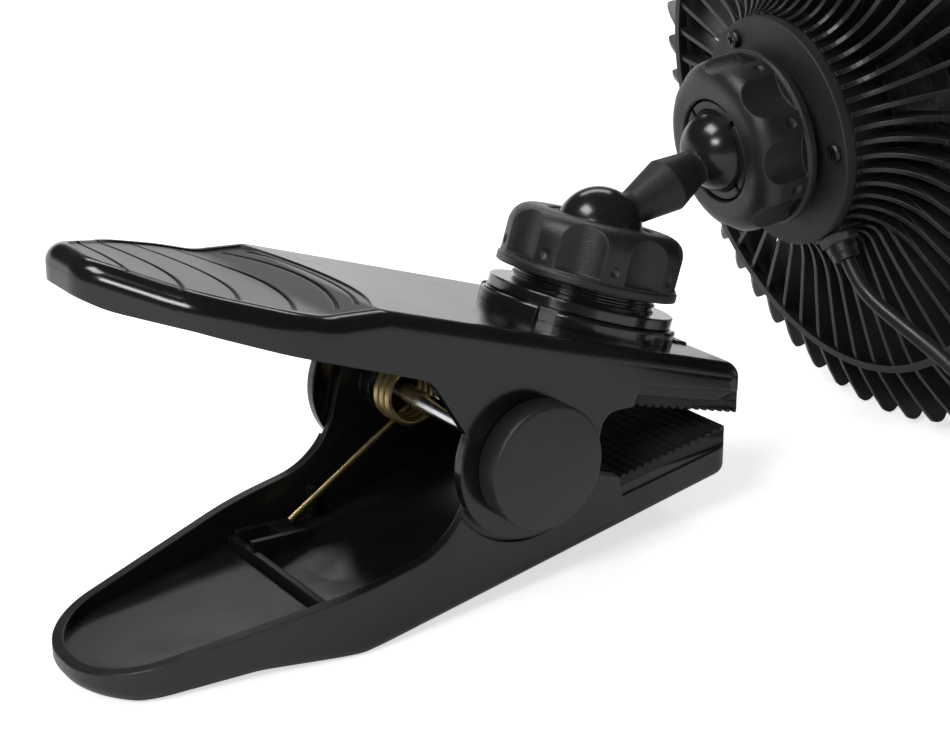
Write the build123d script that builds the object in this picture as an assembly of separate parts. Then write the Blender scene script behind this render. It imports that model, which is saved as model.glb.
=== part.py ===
from build123d import *
import os
from math import asin, atan2, cos, degrees, hypot, pi, radians, sin, tan

# A clip fan: a sprung clamp, a double ball arm held by two lock nuts, a caged fan head and its cord.
# Millimetres and degrees. Each row of an outline is (across, up, corner radius).

# ---------------------------------------------------------------- fits
RUNNING = 0.05          # radial clearance of a shaft in its bearing
SEAT = 0.2              # gap between pieces of two bodies that slide on flat faces
BALL_GAP = 0.2          # ball to its cup, and to the collet

# ---------------------------------------------------------------- clamp, about the pivot axle
# x runs from the handles to the jaws, y across with the cord's side negative, z up.
PIVOT_HEIGHT = 36.1     # axle above the table
CLAMP_PITCH = 5.0       # nose-down lean of the clamp as it stands
WALL = 2.8
LOWER_HALF = 34.0       # half widths of the two shells
UPPER_HALF = 36.0
EAR_R = 19.5            # upper ears, round the axle
EAR_CLEAR = 1.5         # ring between an upper ear and the step in the lower wall
BOSS_R = 7.0
BOSS_LENGTH = 4.2
LOWER_EDGE_R = 3.0
UPPER_EDGE_R = 4.0

LOWER_SIDE = [
    (-115.0, -41.0, 0.0), (-18.0, -17.7, 20.0), (-13.0, 3.0, 6.0), (-8.5, 14.5, 8.0), (10.0, 14.5, 8.0),
    (15.5, 3.0, 6.0), (17.5, -7.6, 3.0), (27.3, -10.8, 0.6), (28.5, -16.2, 0.0), (62.4, -9.4, 0.0),
    (60.4, -17.4, 0.0), (-43.0, -39.9, 14.0), (-66.0, -40.2, 40.0), (-92.0, -43.9, 10.0), (-115.0, -42.4, 0.0),
]
LOWER_PLAN_HALF = [(61.8, 34.0, 4.0), (-44.0, 34.0, 60.0), (-103.2, 18.5, 22.0)]
LOWER_FLOOR = [(-130.0, -41.9, 0.0), (-46.5, -34.9, 0.8), (-45.6, -37.4, 0.6), (57.6, -15.1, 0.0)]
RIB_THICK = 1.8
RIB_PAIR_Y = (20.0, 28.4)       # the two ribs that hold the spring's lower leg
RIB_X = (-45.0, -29.0)
RIB_TOP = -30.5
SPRING_SEAT_X = (-36.0, -29.5)

UPPER_SIDE = [
    (66.4, 9.74, 0.0), (-37.5, 41.6, 6.0), (-51.0, 42.2, 20.0), (-80.0, 50.9, 60.0), (-112.0, 62.6, 0.0),
    (-112.0, 55.0, 0.0), (-93.0, 45.7, 20.0), (-80.0, 42.6, 30.0), (-27.0, 24.0, 9.0), (-17.5, 9.0, 0.0),
    (0.0, -6.0, 0.0), (19.2, -2.0, 0.0), (20.6, 7.3, 5.0), (29.6, 6.9, 0.6), (31.6, 12.0, 0.0),
    (65.7, 3.5, 0.0),
]
UPPER_PLAN_HALF = [(66.2, 34.5, 6.0), (20.0, 36.0, 30.0), (-62.0, 36.8, 20.0), (-79.0, 30.0, 24.0),
                   (-97.6, 10.0, 12.5)]
UPPER_FRONT = 63.4              # the hollow's two ends along the handle
UPPER_BACK = -94.6
UPPER_ROOF = [(UPPER_FRONT, 7.54, 0.0), (-37.5, 38.6, 3.0), (-51.0, 39.3, 18.0), (-80.0, 47.9, 40.0),
              (UPPER_BACK, 53.36, 0.0)]

GROOVE_WIDTH = 1.1
GROOVE_DEPTH = 0.7
GROOVE_R = 62.0                 # thumb grooves: arcs across the handle, as (middle, half reach)
GROOVES = [(-86.0, 15.0), (-75.0, 24.0), (-62.5, 28.0), (-49.5, 29.0), (-39.0, 28.0), (-34.0, 26.5)]
PANEL_INSET = 5.0
PANEL_FRONT = -30.5             # the panel ends in an arc like the grooves
PANEL_DEPTH = 0.4

AXLE_R = 2.5
CAP_R = 15.0
CAP_THICK = 4.8
CAP_HOLD = 2.6                  # how far the axle enters a cap

PAD_HALF = 33.6
UPPER_PAD = [UPPER_SIDE[14][:2], UPPER_SIDE[15][:2], (64.6, -2.0), (30.0, 6.6)]
LOWER_PAD = [LOWER_SIDE[8][:2], (61.896, -9.501), (60.6, -4.3), (27.6, -10.9)]
RIDGES = 14
RIDGE_HEIGHT = 0.8

# ---------------------------------------------------------------- torsion spring on the axle
SPRING_WIRE = 1.8
SPRING_R = 6.9
SPRING_Y = (24.6, 15.4)         # the lower leg's plane and the upper leg's
SPRING_TURNS = 3
SPRING_LOWER_END = (-31.8, -29.4)
SPRING_UPPER_END = (-35.0, 36.4)
SPRING_CORNERS = 13

# ---------------------------------------------------------------- ball arm and its two sockets
# A socket's own frame: z = 0 on the face that carries it, z up towards the ball.
SOCKET_X = 38.1                 # where the first socket stands on the upper jaw
FOOT_R = 25.3
FOOT_THICK = 3.4
FOOT_FRONT = 18.5               # flat on the foot at the jaw's front edge
FLANGE_R = 23.8
FLANGE_TOP = 6.4
NECK_R = 18.6
NECK_TOP = 20.0
THREADS = 8
THREAD_PITCH = 1.5
THREAD_DEPTH = 0.6
LEDGE_Z = 14.2                  # the collet sits on this ledge
COLLET_BORE = 15.1
COLLET_R = 14.8
BALL_R = 11.0
BALL_Z = 23.1
COLLET_TOP = 25.3
COLLET_SLOTS = 4
COLLET_SLOT = 1.6
NUT_LIP_R = 23.3
NUT_R = 22.8
NUT_BOTTOM = 10.2
NUT_LIP = 2.2
NUT_SHOULDER = 20.4             # where the nut's bore steps in over the neck
NUT_TOP = 25.8
NUT_HOLE_R = 13.5
NUT_ROUND = 5.6
SCALLOPS = 8
SCALLOP_R = 11.0
SCALLOP_DEPTH = 2.4

LINK_LENGTH = 42.53              # between ball centres
LINK_RISE = 17.26                # above the horizontal
LINK_NECK_R = 4.6
LINK_RIDGE_R = 7.2
LINK_RIDGE = 23.0               # along the link from the first ball

# ---------------------------------------------------------------- fan head, along its axis from the ball
HEAD_RISE = 4.6                 # of the fan's axis above the horizontal
HEAD_YAW = -5.3
PLATE_R = 30.6
PLATE_FACE = 7.0                # the plate's face in its socket's frame
PLATE_THICK = 2.7
SCREW_CIRCLE_R = 26.6
SCREW_ANGLES = (150.0, 30.0, -90.0)     # from straight down, positive away from the cord's side
SCREW_R = 1.3
SCREW_HEAD_R = 2.4
SCREW_HEAD = 1.6
SCREW_LENGTH = 11.0
HOUSING_R = 29.6
HOUSING_END = 44.0
HOUSING_WALL = 2.2
HOUSING_RIB_R = 30.8

VANES = 52
VANE_THICK = 1.3
HUB_RING = (31.6, 36.8)
HUB_RING_R = 30.9
TIE_RING_R = 70.6
RIM_RING_R = (79.6, 82.8)
RIM_JOIN = 47.6                 # where the two grilles meet
REAR_VANE = [(30.4, 31.7, 0.0), (30.95, 31.7, 0.0), (30.95, 27.6, 0.0), (31.6, 27.6, 0.0), (32.2, 31.4, 4.0),
             (50.0, 32.0, 60.0), (71.0, 33.8, 30.0), (82.0, 38.4, 12.0), (90.8, 42.8, 2.8),
             (85.6, 47.6, 2.0), (80.0, 47.6, 0.0), (79.4, 44.6, 4.0), (69.0, 39.2, 40.0), (50.0, 36.9, 60.0),
             (30.4, 36.6, 0.0)]
FRONT_VANE = [(80.0, 47.6, 0.0), (85.6, 47.6, 2.0), (90.8, 52.4, 2.8), (82.6, 59.6, 12.0), (70.0, 64.8, 60.0),
              (48.0, 68.2, 90.0), (16.4, 68.4, 0.0), (16.4, 66.0, 0.0), (47.0, 64.2, 90.0), (67.0, 60.8, 45.0),
              (78.2, 55.4, 10.0), (79.8, 51.0, 0.0)]
FACE_DISC_R = 18.0
FACE_DISC = (65.2, 69.8)

MOTOR_R = 14.5
MOTOR_SPAN = (24.0, 46.4)
CAN_WALL = 1.0
BELL_THICK = 2.2
SHAFT_R = 1.5
SHAFT_SPAN = (22.6, 63.4)
BUSHING_R = 4.0
BUSHING_LENGTH = 3.0
ARMATURE_R = 9.6
ARMATURE_SPAN = (33.0, 42.0)
AIR_GAP = 0.6
POLES = 5
COMMUTATOR_R = 3.6
COMMUTATOR_SPAN = (27.4, 31.0)
BLADES = 5
BLADE_THICK = 1.7
HUB_R = 19.0
HUB_SPAN = (48.6, 61.4)
BLADE_MID = 52.2
BLADE_STATIONS = [(17.0, 16.0, 30.0), (31.0, 22.0, 28.0), (52.0, 40.0, 24.0), (73.0, 22.0, 19.0)]   # radius, chord, pitch
SPINNER_NUT_R = 5.0

ROCKER_HALF = 6.4
ROCKER_WIDTH = 8.4
ROCKER_PIN_R = 1.0
ROCKER_S = FACE_DISC[1] - 1.6

# ---------------------------------------------------------------- cord, gland and plug
CORD_R = 2.0
GLAND_ANGLE = -33.0             # round the housing from straight down
GLAND_S = 21.5                  # along the fan's axis
GLAND_HEX = 8.8                 # across flats
GLAND_SEAT = 30.9
GLAND_NUT = 2.6
GLAND_BARREL = 4.5
GLAND_BARREL_R = 3.5
CORD_START = 6.5                # straight out of the barrel
ROUTE = [(110.7, -33.0, 45.6), (110.8, -44.0, 41.6), (111.2, -58.0, 36.4), (112.6, -71.0, 28.0),
         (114.6, -81.5, 18.2), (117.0, -92.0, 8.8), (119.4, -108.5, 2.7)]
COIL_CENTRE = (152.0, -126.0)
COIL_INNER_R = 18.0
COIL_PITCH = 5.2                # from turn to turn and from layer to layer
COIL_LAYERS = 4
COIL_QUARTERS = 8               # in each layer, before the half turn that climbs
COIL_ENTRY = 200.0              # where round the coil the cord comes in
TAIL = [(204.0, -93.0, 14.6), (226.0, -91.0, 12.0)]
PLUG_PLACE = (240.0, -129.0)
PLUG_HEADING = -84.0
PLUG_LEAD = 20.0                # straight into the plug
PLUG_R = 10.4
PLUG_BOOT = 15.0
PLUG_BODY = 44.0
PLUG_RING = 4.0
PLUG_TIP = 6.5


# ================================================================ helpers
def outline(rows):
    """A face with a corner radius at each point."""
    points = [(a, b) for a, b, r in rows]
    return make_face(FilletPolyline(*points, radius=[r for a, b, r in rows], close=True))


def side_slab(rows, half_width):
    """A side outline (x, z) run across the clamp."""
    return extrude(Plane.XZ * outline(rows), half_width, both=True)


def mirrored(half_rows):
    """A plan outline from the rows of its +y half."""
    return half_rows + [(x, -y, r) for x, y, r in reversed(half_rows)]


def plan_slab(half_rows, low, high, inset=0.0):
    """A plan outline stood up between two heights, drawn in by the inset."""
    face = outline(mirrored(half_rows))
    if inset:
        face = offset(face, -inset)
    return Pos(0, 0, low) * extrude(face, high - low)


def block(x, y, z):
    """A box between two places on each axis."""
    middle = Pos((x[0] + x[1]) / 2, (y[0] + y[1]) / 2, (z[0] + z[1]) / 2)
    return middle * Box(x[1] - x[0], y[1] - y[0], z[1] - z[0])


def across(radius, low, high, x=0.0, z=0.0):
    """A cylinder along y between two places."""
    return Pos(x, (low + high) / 2, z) * Rot(90, 0, 0) * Cylinder(radius, high - low)


def upright(radius, low, high, x=0.0, y=0.0):
    """A cylinder along z between two heights."""
    return Pos(x, y, (low + high) / 2) * Cylinder(radius, high - low)


def ring(inner, outer, low, high):
    """A flat ring about z."""
    return upright(outer, low, high) - upright(inner, low - 1, high + 1)


def turned(rows):
    """A solid of revolution about z from (radius, height, corner radius) rows."""
    return revolve(Plane.XZ * outline(rows), Axis.Z)


def around(shape, count, start=0.0):
    """Copies of a shape round z."""
    return [Rot(0, 0, start + 360.0 * i / count) * shape for i in range(count)]


def group(shapes):
    """Separate solids that make one piece's node."""
    return Part() + shapes


def on_circle(radius, angle):
    return radius * cos(radians(angle)), radius * sin(radians(angle))


def between(a, b, share=0.5):
    return tuple(p + (q - p) * share for p, q in zip(a, b))


def tube_path(points, share=0.45):
    """Straight runs joined by tangent arcs as large as the runs allow, with the arcs' radii."""
    radii = []
    for before, here, after in zip(points, points[1:], points[2:]):
        a = Vector(*here) - Vector(*before)
        b = Vector(*after) - Vector(*here)
        radii.append(share * min(a.length, b.length) / tan(radians(a.get_angle(b)) / 2))
    return FilletPolyline(*points, radius=radii), radii


def tube(path, radius):
    """A round tube along a path."""
    start = Plane(origin=path @ 0, z_dir=path % 0)
    return sweep(start * Circle(radius), path=path)


def height_on(rows, x):
    """The height of an outline's straight sides at one place along it."""
    for (x0, z0, r0), (x1, z1, r1) in zip(rows, rows[1:]):
        if min(x0, x1) <= x <= max(x0, x1):
            return z0 + (z1 - z0) * (x - x0) / (x1 - x0)
    return 0.0


# ================================================================ clamp
UNDERSIDE = LOWER_SIDE[10:15]
TOP_LINE = UPPER_SIDE[0:5]
RECESS_HALF = UPPER_HALF - WALL - SEAT


def edges_along(body, rows, nose, near=0.9):
    """The edges that follow one run of the side outline, along the flanks and round the nose."""
    chosen = []
    for edge in body.edges():
        middle = edge @ 0.5
        flank = abs(middle.Y) > 8.0 or middle.X < nose
        if flank and abs(middle.Z - height_on(rows, middle.X)) < near:
            chosen.append(edge)
    return chosen


def lower_jaw():
    """The tray-shaped lower handle and jaw, open above, with its spring seat."""
    body = side_slab(LOWER_SIDE, LOWER_HALF + 2) & plan_slab(LOWER_PLAN_HALF, -60, 40)
    body = fillet(edges_along(body, UNDERSIDE, -101.5), LOWER_EDGE_R)
    hollow_rows = LOWER_FLOOR + [(57.6, 60.0, 0.0), (-130.0, 60.0, 0.0)]
    hollow = side_slab(hollow_rows, LOWER_HALF) & plan_slab(LOWER_PLAN_HALF, -60, 60, WALL)
    inner = LOWER_HALF - WALL
    ribs = []
    for y in RIB_PAIR_Y:
        ribs.append(block(RIB_X, (y - RIB_THICK / 2, y + RIB_THICK / 2), (-60, RIB_TOP)))
    ribs.append(block((RIB_X[0] - RIB_THICK / 2, RIB_X[0] + RIB_THICK / 2), (-inner, inner), (-60, RIB_TOP - 2)))
    ribs.append(block(SPRING_SEAT_X, RIB_PAIR_Y, (-60, SPRING_LOWER_END[1] - SPRING_WIRE / 2 - 0.4)))
    ribs.append(block((-23.0, -21.2), (inner - 2.2, inner + 1), (-60, -24)))
    ribs.append(block((-22.0, -20.0), (-inner - 1, -inner + 3.2), (-60, -26)))
    for side in (-1, 1):
        low, high = sorted((side * (inner - BOSS_LENGTH), side * (inner + 1)))
        ribs.append(across(BOSS_R, low, high))
    body -= hollow.cut(*ribs)
    for side in (-1, 1):
        low, high = sorted((side * RECESS_HALF, side * (LOWER_HALF + 1)))
        body -= across(EAR_R + EAR_CLEAR, low, high)
    return body - across(AXLE_R + RUNNING, -LOWER_HALF, LOWER_HALF)


def upper_jaw():
    """The upper handle and jaw, open below, with an ear each side of the axle."""
    blank = side_slab(UPPER_SIDE, UPPER_HALF + 3) + across(EAR_R, -UPPER_HALF - 3, UPPER_HALF + 3)
    blank &= plan_slab(UPPER_PLAN_HALF, -60, 90)
    blank = fillet(edges_along(blank, TOP_LINE, UPPER_BACK), UPPER_EDGE_R)
    hollow = side_slab(UPPER_ROOF + [(UPPER_BACK, -60.0, 0.0), (UPPER_FRONT, -60.0, 0.0)], UPPER_HALF)
    hollow &= plan_slab(UPPER_PLAN_HALF, -60, 90, WALL)
    body = blank - hollow
    panel = plan_slab(UPPER_PLAN_HALF, 0, 90, PANEL_INSET) & upright(GROOVE_R, 20, 90, PANEL_FRONT - GROOVE_R)
    body -= panel - Pos(0, 0, -PANEL_DEPTH) * blank
    for x, reach in GROOVES:
        wall = Pos(x - GROOVE_R, 0, 0) * ring(GROOVE_R - GROOVE_WIDTH / 2, GROOVE_R + GROOVE_WIDTH / 2, 20, 90)
        wall &= block((x - 10, x + 1), (-reach, reach), (20, 90))
        body -= wall - Pos(0, 0, -PANEL_DEPTH - GROOVE_DEPTH) * blank
    return body - across(AXLE_R + RUNNING, -UPPER_HALF - 2, UPPER_HALF + 2)


def pad_layers(corners):
    """The carrier against the jaw, and the ridged grip face over it, from the pad's four corners."""
    seat_in, seat_out, face_out, face_in = corners
    mid_in = between(seat_in, face_in)
    mid_out = between(seat_out, face_out)
    rise = Vector(face_in[0] - seat_in[0], face_in[1] - seat_in[1]).normalized() * RIDGE_HEIGHT
    teeth = []
    for i in range(RIDGES):
        for step, lowered in ((0.06, 1), (0.31, 0), (0.68, 0), (0.93, 1)):
            x, z = between(face_in, face_out, (i + step) / RIDGES)
            teeth.append((x - rise.X * lowered, z - rise.Y * lowered))
    layers = []
    for points in ([seat_in, seat_out, mid_out, mid_in], [mid_in] + teeth + [mid_out]):
        layers.append(extrude(Plane.XZ * make_face(Polyline(*points, close=True)), PAD_HALF, both=True))
    return layers


def pivot_cap(side):
    rows = [(0.0, 0.0, 0.0), (CAP_R - 0.6, 0.0, 0.0), (CAP_R, 0.8, 0.4), (CAP_R, CAP_THICK, 1.6),
            (CAP_R - 2.2, CAP_THICK, 0.6), (CAP_R - 3.0, CAP_THICK - 0.5, 0.4), (0.0, CAP_THICK - 0.5, 0.0)]
    cap = turned(rows) - upright(AXLE_R + RUNNING, -1, CAP_HOLD)
    return Pos(0, side * (UPPER_HALF + 0.5), 0) * Rot(-90 * side, 0, 0) * cap


def pivot_axle():
    reach = UPPER_HALF + 0.5 + CAP_HOLD
    return across(AXLE_R, -reach, reach)


def clamp_spring():
    """Round the axle and out along both handles, as one wire."""
    low, high = SPRING_LOWER_END, SPRING_UPPER_END
    heading = atan2(-low[1], -low[0]) - asin(SPRING_R / hypot(*low))
    leaving = atan2(high[1], high[0]) + asin(SPRING_R / hypot(*high)) + 2 * pi * SPRING_TURNS
    step = (leaving - heading) / SPRING_CORNERS
    corner_r = SPRING_R / cos(step / 2)
    points = [(low[0], SPRING_Y[0], low[1])]
    for k in range(SPRING_CORNERS):
        angle = heading + step * (k + 0.5) - pi / 2
        y = SPRING_Y[0] + (SPRING_Y[1] - SPRING_Y[0]) * (k + 0.5) / SPRING_CORNERS
        points.append((corner_r * cos(angle), y, corner_r * sin(angle)))
    points.append((high[0], SPRING_Y[1], high[1]))
    path = FilletPolyline(*points, radius=SPRING_R * 0.96)
    return tube(path, SPRING_WIRE / 2), path


# ================================================================ sockets, nuts and arm
def neck_rows(foot_z, foot_r):
    """A threaded neck with a bore for the collet, from its flange up."""
    rows = [(foot_r, foot_z, 0.4), (NECK_R, foot_z, 0.0)]
    start = NECK_TOP - 1.2 - THREADS * THREAD_PITCH
    for i in range(THREADS):
        z = start + i * THREAD_PITCH
        rows += [(NECK_R, z, 0.0), (NECK_R - THREAD_DEPTH, z + THREAD_PITCH * 0.3, 0.0),
                 (NECK_R - THREAD_DEPTH, z + THREAD_PITCH * 0.5, 0.0), (NECK_R, z + THREAD_PITCH * 0.8, 0.0)]
    rows += [(NECK_R, NECK_TOP, 0.6), (COLLET_BORE, NECK_TOP, 0.0), (COLLET_BORE, LEDGE_Z, 0.0), (0.0, LEDGE_Z, 0.0)]
    return rows


def cup():
    return Pos(0, 0, BALL_Z) * Sphere(BALL_R + BALL_GAP)


def mount_foot():
    foot = turned([(0.0, 0.0, 0.0), (FOOT_R, 0.0, 0.0), (FOOT_R, FOOT_THICK, 0.8), (0.0, FOOT_THICK, 0.0)])
    foot &= block((-40, FOOT_FRONT), (-40, 40), (-1, 10))
    for angle in (35.0, 145.0, 215.0, 325.0):
        foot -= Rot(0, 0, angle) * Pos(FOOT_R, 0, 0) * Box(2.6, 5.0, 20)
    return foot


def arm_socket():
    rows = [(0.0, FOOT_THICK, 0.0), (FLANGE_R, FOOT_THICK, 0.4)] + neck_rows(FLANGE_TOP, FLANGE_R)
    return turned(rows) - cup()


def head_plate():
    back = PLATE_FACE - PLATE_THICK
    rows = [(0.0, back, 0.0), (PLATE_R, back, 0.3)] + neck_rows(PLATE_FACE, PLATE_R)
    plate = turned(rows) - cup()
    for angle in SCREW_ANGLES:
        x, y = on_circle(SCREW_CIRCLE_R, -angle)
        plate -= upright(SCREW_R + 0.1, 0, 10, x, y)
    return plate


def collet():
    """A slotted ring between the neck and the nut, hollowed to the ball."""
    rows = [(0.0, LEDGE_Z + 0.1, 0.0), (COLLET_R, LEDGE_Z + 0.1, 0.3), (COLLET_R, NUT_SHOULDER - 0.6, 0.0),
            (NUT_HOLE_R - 0.3, COLLET_TOP - 0.6, 0.0), (NUT_HOLE_R - 0.6, COLLET_TOP, 0.0), (0.0, COLLET_TOP, 0.0)]
    body = turned(rows) - cup()
    for i in range(COLLET_SLOTS):
        angle = 360.0 * (i + 0.5) / COLLET_SLOTS
        body -= Rot(0, 0, angle) * block((8, 20), (-COLLET_SLOT / 2, COLLET_SLOT / 2), (LEDGE_Z + 3, 40))
    return body


def lock_nut():
    """A grip nut: the cone inside its top presses the collet on the ball."""
    rows = [(NUT_LIP_R, NUT_BOTTOM, 0.3), (NUT_LIP_R, NUT_BOTTOM + NUT_LIP, 0.5),
            (NUT_R, NUT_BOTTOM + NUT_LIP, 0.0), (NUT_R, NUT_TOP, NUT_ROUND), (NUT_HOLE_R + 0.1, NUT_TOP, 0.8),
            (NUT_HOLE_R, COLLET_TOP - 0.6, 0.0), (COLLET_R + 0.3, NUT_SHOULDER, 0.0),
            (NECK_R + 0.1, NUT_SHOULDER, 0.0), (NECK_R + 0.1, NUT_BOTTOM, 0.0)]
    body = turned(rows)
    out = NUT_R + SCALLOP_R - SCALLOP_DEPTH
    scallop = upright(SCALLOP_R, NUT_BOTTOM + NUT_LIP + 0.5, 40, out)
    dimple = Pos(NUT_R + 1.3, 0, NUT_BOTTOM + NUT_LIP + 3.4) * Sphere(1.9)
    return body.cut(*around(scallop, SCALLOPS), *around(dimple, SCALLOPS, 180.0 / SCALLOPS))


def ball_link():
    """Two balls on an arm with one sharp ridge, along z from the first ball's centre."""
    rows = [(0.0, 0.0, 0.0), (LINK_NECK_R, 0.0, 0.0), (LINK_NECK_R, 11.4, 3.0), (LINK_RIDGE_R, LINK_RIDGE, 0.0),
            (LINK_NECK_R + 0.3, LINK_LENGTH - 11.0, 3.0), (LINK_NECK_R + 0.3, LINK_LENGTH, 0.0),
            (0.0, LINK_LENGTH, 0.0)]
    return turned(rows) + Sphere(BALL_R) + Pos(0, 0, LINK_LENGTH) * Sphere(BALL_R)


# ================================================================ fan head, z along the fan's axis
PLATE_S = BALL_Z - PLATE_FACE           # the plate's face, along the fan's axis
HOUSING_S = PLATE_S + PLATE_THICK


def plate_screws():
    """Pan heads with a cross recess."""
    screws = []
    for angle in SCREW_ANGLES:
        x, y = on_circle(SCREW_CIRCLE_R, angle)
        screw = turned([(0.0, -SCREW_HEAD, 0.0), (SCREW_HEAD_R, -SCREW_HEAD, 1.0), (SCREW_HEAD_R, 0.0, 0.0),
                        (SCREW_R, 0.0, 0.0), (SCREW_R, SCREW_LENGTH, 0.4), (0.0, SCREW_LENGTH, 0.0)])
        for turn in (20.0, 110.0):
            screw -= Pos(0, 0, -SCREW_HEAD) * Rot(0, 0, turn) * Box(2.6, 0.6, 1.6)
        screws.append(Pos(x, y, PLATE_S) * screw)
    return group(screws)


def gland_place():
    x, y = on_circle(1.0, GLAND_ANGLE)
    return Location(Plane(origin=(0, 0, GLAND_S), z_dir=(x, y, 0), x_dir=(0, 0, 1)))


def motor_housing():
    """The ribbed cup behind the fan: it holds the motor, the screws and the cord's gland."""
    inside = HOUSING_R - HOUSING_WALL
    floor_top = HOUSING_S + HOUSING_WALL
    lip = PLATE_R - 0.3
    rows = [(0.0, HOUSING_S, 0.0), (lip, HOUSING_S, 0.2), (lip, HOUSING_S + 1.2, 0.3),
            (HOUSING_R, HOUSING_S + 1.6, 0.0), (HOUSING_R, HOUSING_END, 0.0), (inside, HOUSING_END, 0.0),
            (inside, floor_top, 1.2), (MOTOR_R + 2.2, floor_top, 0.8), (MOTOR_R + 2.2, MOTOR_SPAN[0] + 6, 0.4),
            (MOTOR_R + 0.1, MOTOR_SPAN[0] + 6, 0.0), (MOTOR_R + 0.1, MOTOR_SPAN[0], 0.0),
            (MOTOR_R - 4.0, MOTOR_SPAN[0], 0.0), (MOTOR_R - 4.0, floor_top, 0.0), (0.0, floor_top, 0.0)]
    body = turned(rows)
    rib = block((HOUSING_R - 0.4, HOUSING_RIB_R), (-0.65, 0.65), (HOUSING_S + 1.4, HUB_RING[0]))
    ribs = []
    for i in range(VANES):
        angle = 360.0 * (i + 0.5) / VANES
        away = abs((angle - GLAND_ANGLE + 180) % 360 - 180)
        if away > 14:
            ribs.append(Rot(0, 0, angle) * rib)
    body = body.fuse(*ribs)
    for angle in SCREW_ANGLES:
        x, y = on_circle(SCREW_CIRCLE_R, angle)
        body += upright(2.7, HOUSING_S + 1, HOUSING_S + SCREW_LENGTH, x, y) & upright(HOUSING_R - 0.2, 0, 60)
        body -= upright(SCREW_R + 0.05, HOUSING_S - 1, HOUSING_S + SCREW_LENGTH - PLATE_THICK + 0.4, x, y)
    place = gland_place()
    body += (place * upright(7.2, HOUSING_R - 3.2, GLAND_SEAT)) & upright(HOUSING_R + 9, HOUSING_S, HOUSING_END)
    body -= place * upright(6.6, GLAND_SEAT, GLAND_SEAT + 5)
    return body - place * upright(CORD_R + 0.4, 20, GLAND_SEAT + 5)


def housing_cover():
    return ring(MOTOR_R + 0.2, HOUSING_R, HOUSING_END, HOUSING_END + 2.2)


def vane(rows):
    return extrude(Plane.XZ * outline(rows), VANE_THICK / 2, both=True)


def rear_grille():
    hub = ring(HOUSING_R + 0.1, HUB_RING_R, HUB_RING[0], HUB_RING[1])
    rim = ring(RIM_RING_R[0], RIM_RING_R[1], 43.4, RIM_JOIN)
    tie = ring(TIE_RING_R - 1.0, TIE_RING_R + 1.0, 33.2, 36.2)
    return hub.fuse(rim, tie, *around(vane(REAR_VANE), VANES, 180.0 / VANES))


def front_grille():
    disc = turned([(0.0, FACE_DISC[0], 0.0), (FACE_DISC_R, FACE_DISC[0], 0.4), (FACE_DISC_R, FACE_DISC[1], 1.2),
                   (0.0, FACE_DISC[1], 0.0)])
    rim = ring(RIM_RING_R[0], RIM_RING_R[1], RIM_JOIN, 51.8)
    tie = ring(47.0, 49.0, 64.6, 67.4)
    body = disc.fuse(rim, tie, *around(vane(FRONT_VANE), VANES, 180.0 / VANES))
    length = ROCKER_HALF + 0.5
    width = ROCKER_WIDTH / 2 + 0.3
    body -= block((-length, length), (-width, width), (60, 80))
    return body - across(ROCKER_PIN_R + RUNNING, -width - 1.3, width + 1.3, 0, ROCKER_S)


def switch_rocker():
    rows = [(-ROCKER_HALF, 0.4, 0.0), (-ROCKER_HALF + 0.2, 2.4, 0.5), (0.0, 1.5, 8.0), (ROCKER_HALF - 0.2, 2.4, 0.5),
            (ROCKER_HALF, 0.4, 0.0), (4.4, -2.2, 0.6), (-4.4, -2.2, 0.6)]
    reach = ROCKER_WIDTH / 2 + 1.4
    return Pos(0, 0, ROCKER_S) * (side_slab(rows, ROCKER_WIDTH / 2) + across(ROCKER_PIN_R, -reach, reach))


def motor_can():
    front = MOTOR_SPAN[1]
    back = MOTOR_SPAN[0] + BELL_THICK
    bore = BUSHING_R + RUNNING
    rows = [(MOTOR_R, back, 0.0), (MOTOR_R, front, 1.4), (bore, front, 0.0), (bore, front - CAN_WALL, 0.0),
            (MOTOR_R - CAN_WALL, front - CAN_WALL, 0.6), (MOTOR_R - CAN_WALL, back, 0.0)]
    return turned(rows)


def motor_end_bell():
    low = MOTOR_SPAN[0]
    return ring(BUSHING_R + RUNNING, MOTOR_R, low, low + BELL_THICK)


def shaft_bushings():
    bore = SHAFT_R + RUNNING
    rear = ring(bore, BUSHING_R, MOTOR_SPAN[0] - 0.6, MOTOR_SPAN[0] - 0.6 + BUSHING_LENGTH)
    front = ring(bore, BUSHING_R, MOTOR_SPAN[1] - BUSHING_LENGTH + 0.6, MOTOR_SPAN[1] + 0.6)
    return group([rear, front])


def sector(inner, outer, low, high, middle, width):
    """A piece of a ring."""
    half = width / 2
    points = [(0, 0)] + [on_circle(outer * 1.6, middle + half * t) for t in (-1.0, -0.33, 0.33, 1.0)]
    wedge = Pos(0, 0, low) * extrude(make_face(Polyline(*points, close=True)), high - low)
    return ring(inner, outer, low, high) & wedge


def field_magnets():
    inner = ARMATURE_R + AIR_GAP
    outer = MOTOR_R - CAN_WALL - 0.05
    return group([sector(inner, outer, 31.5, 43.5, middle, 124.0) for middle in (0.0, 180.0)])


def armature_core():
    low, high = ARMATURE_SPAN
    core = upright(4.2, low, high)
    for i in range(POLES):
        angle = 360.0 * i / POLES
        core += Rot(0, 0, angle) * block((3.0, ARMATURE_R - 1.0), (-1.2, 1.2), (low, high))
        core += sector(ARMATURE_R - 1.5, ARMATURE_R, low, high, angle, 54.0)
    return core - upright(SHAFT_R + RUNNING, low - 1, high + 1)


def armature_windings():
    low, high = ARMATURE_SPAN
    coil = block((4.9, 7.6), (-2.6, 2.6), (low - 1.2, high + 1.2))
    coil -= block((4.0, 9.0), (-1.3, 1.3), (low - 0.1, high + 0.1))
    return group(around(coil, POLES))


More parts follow.
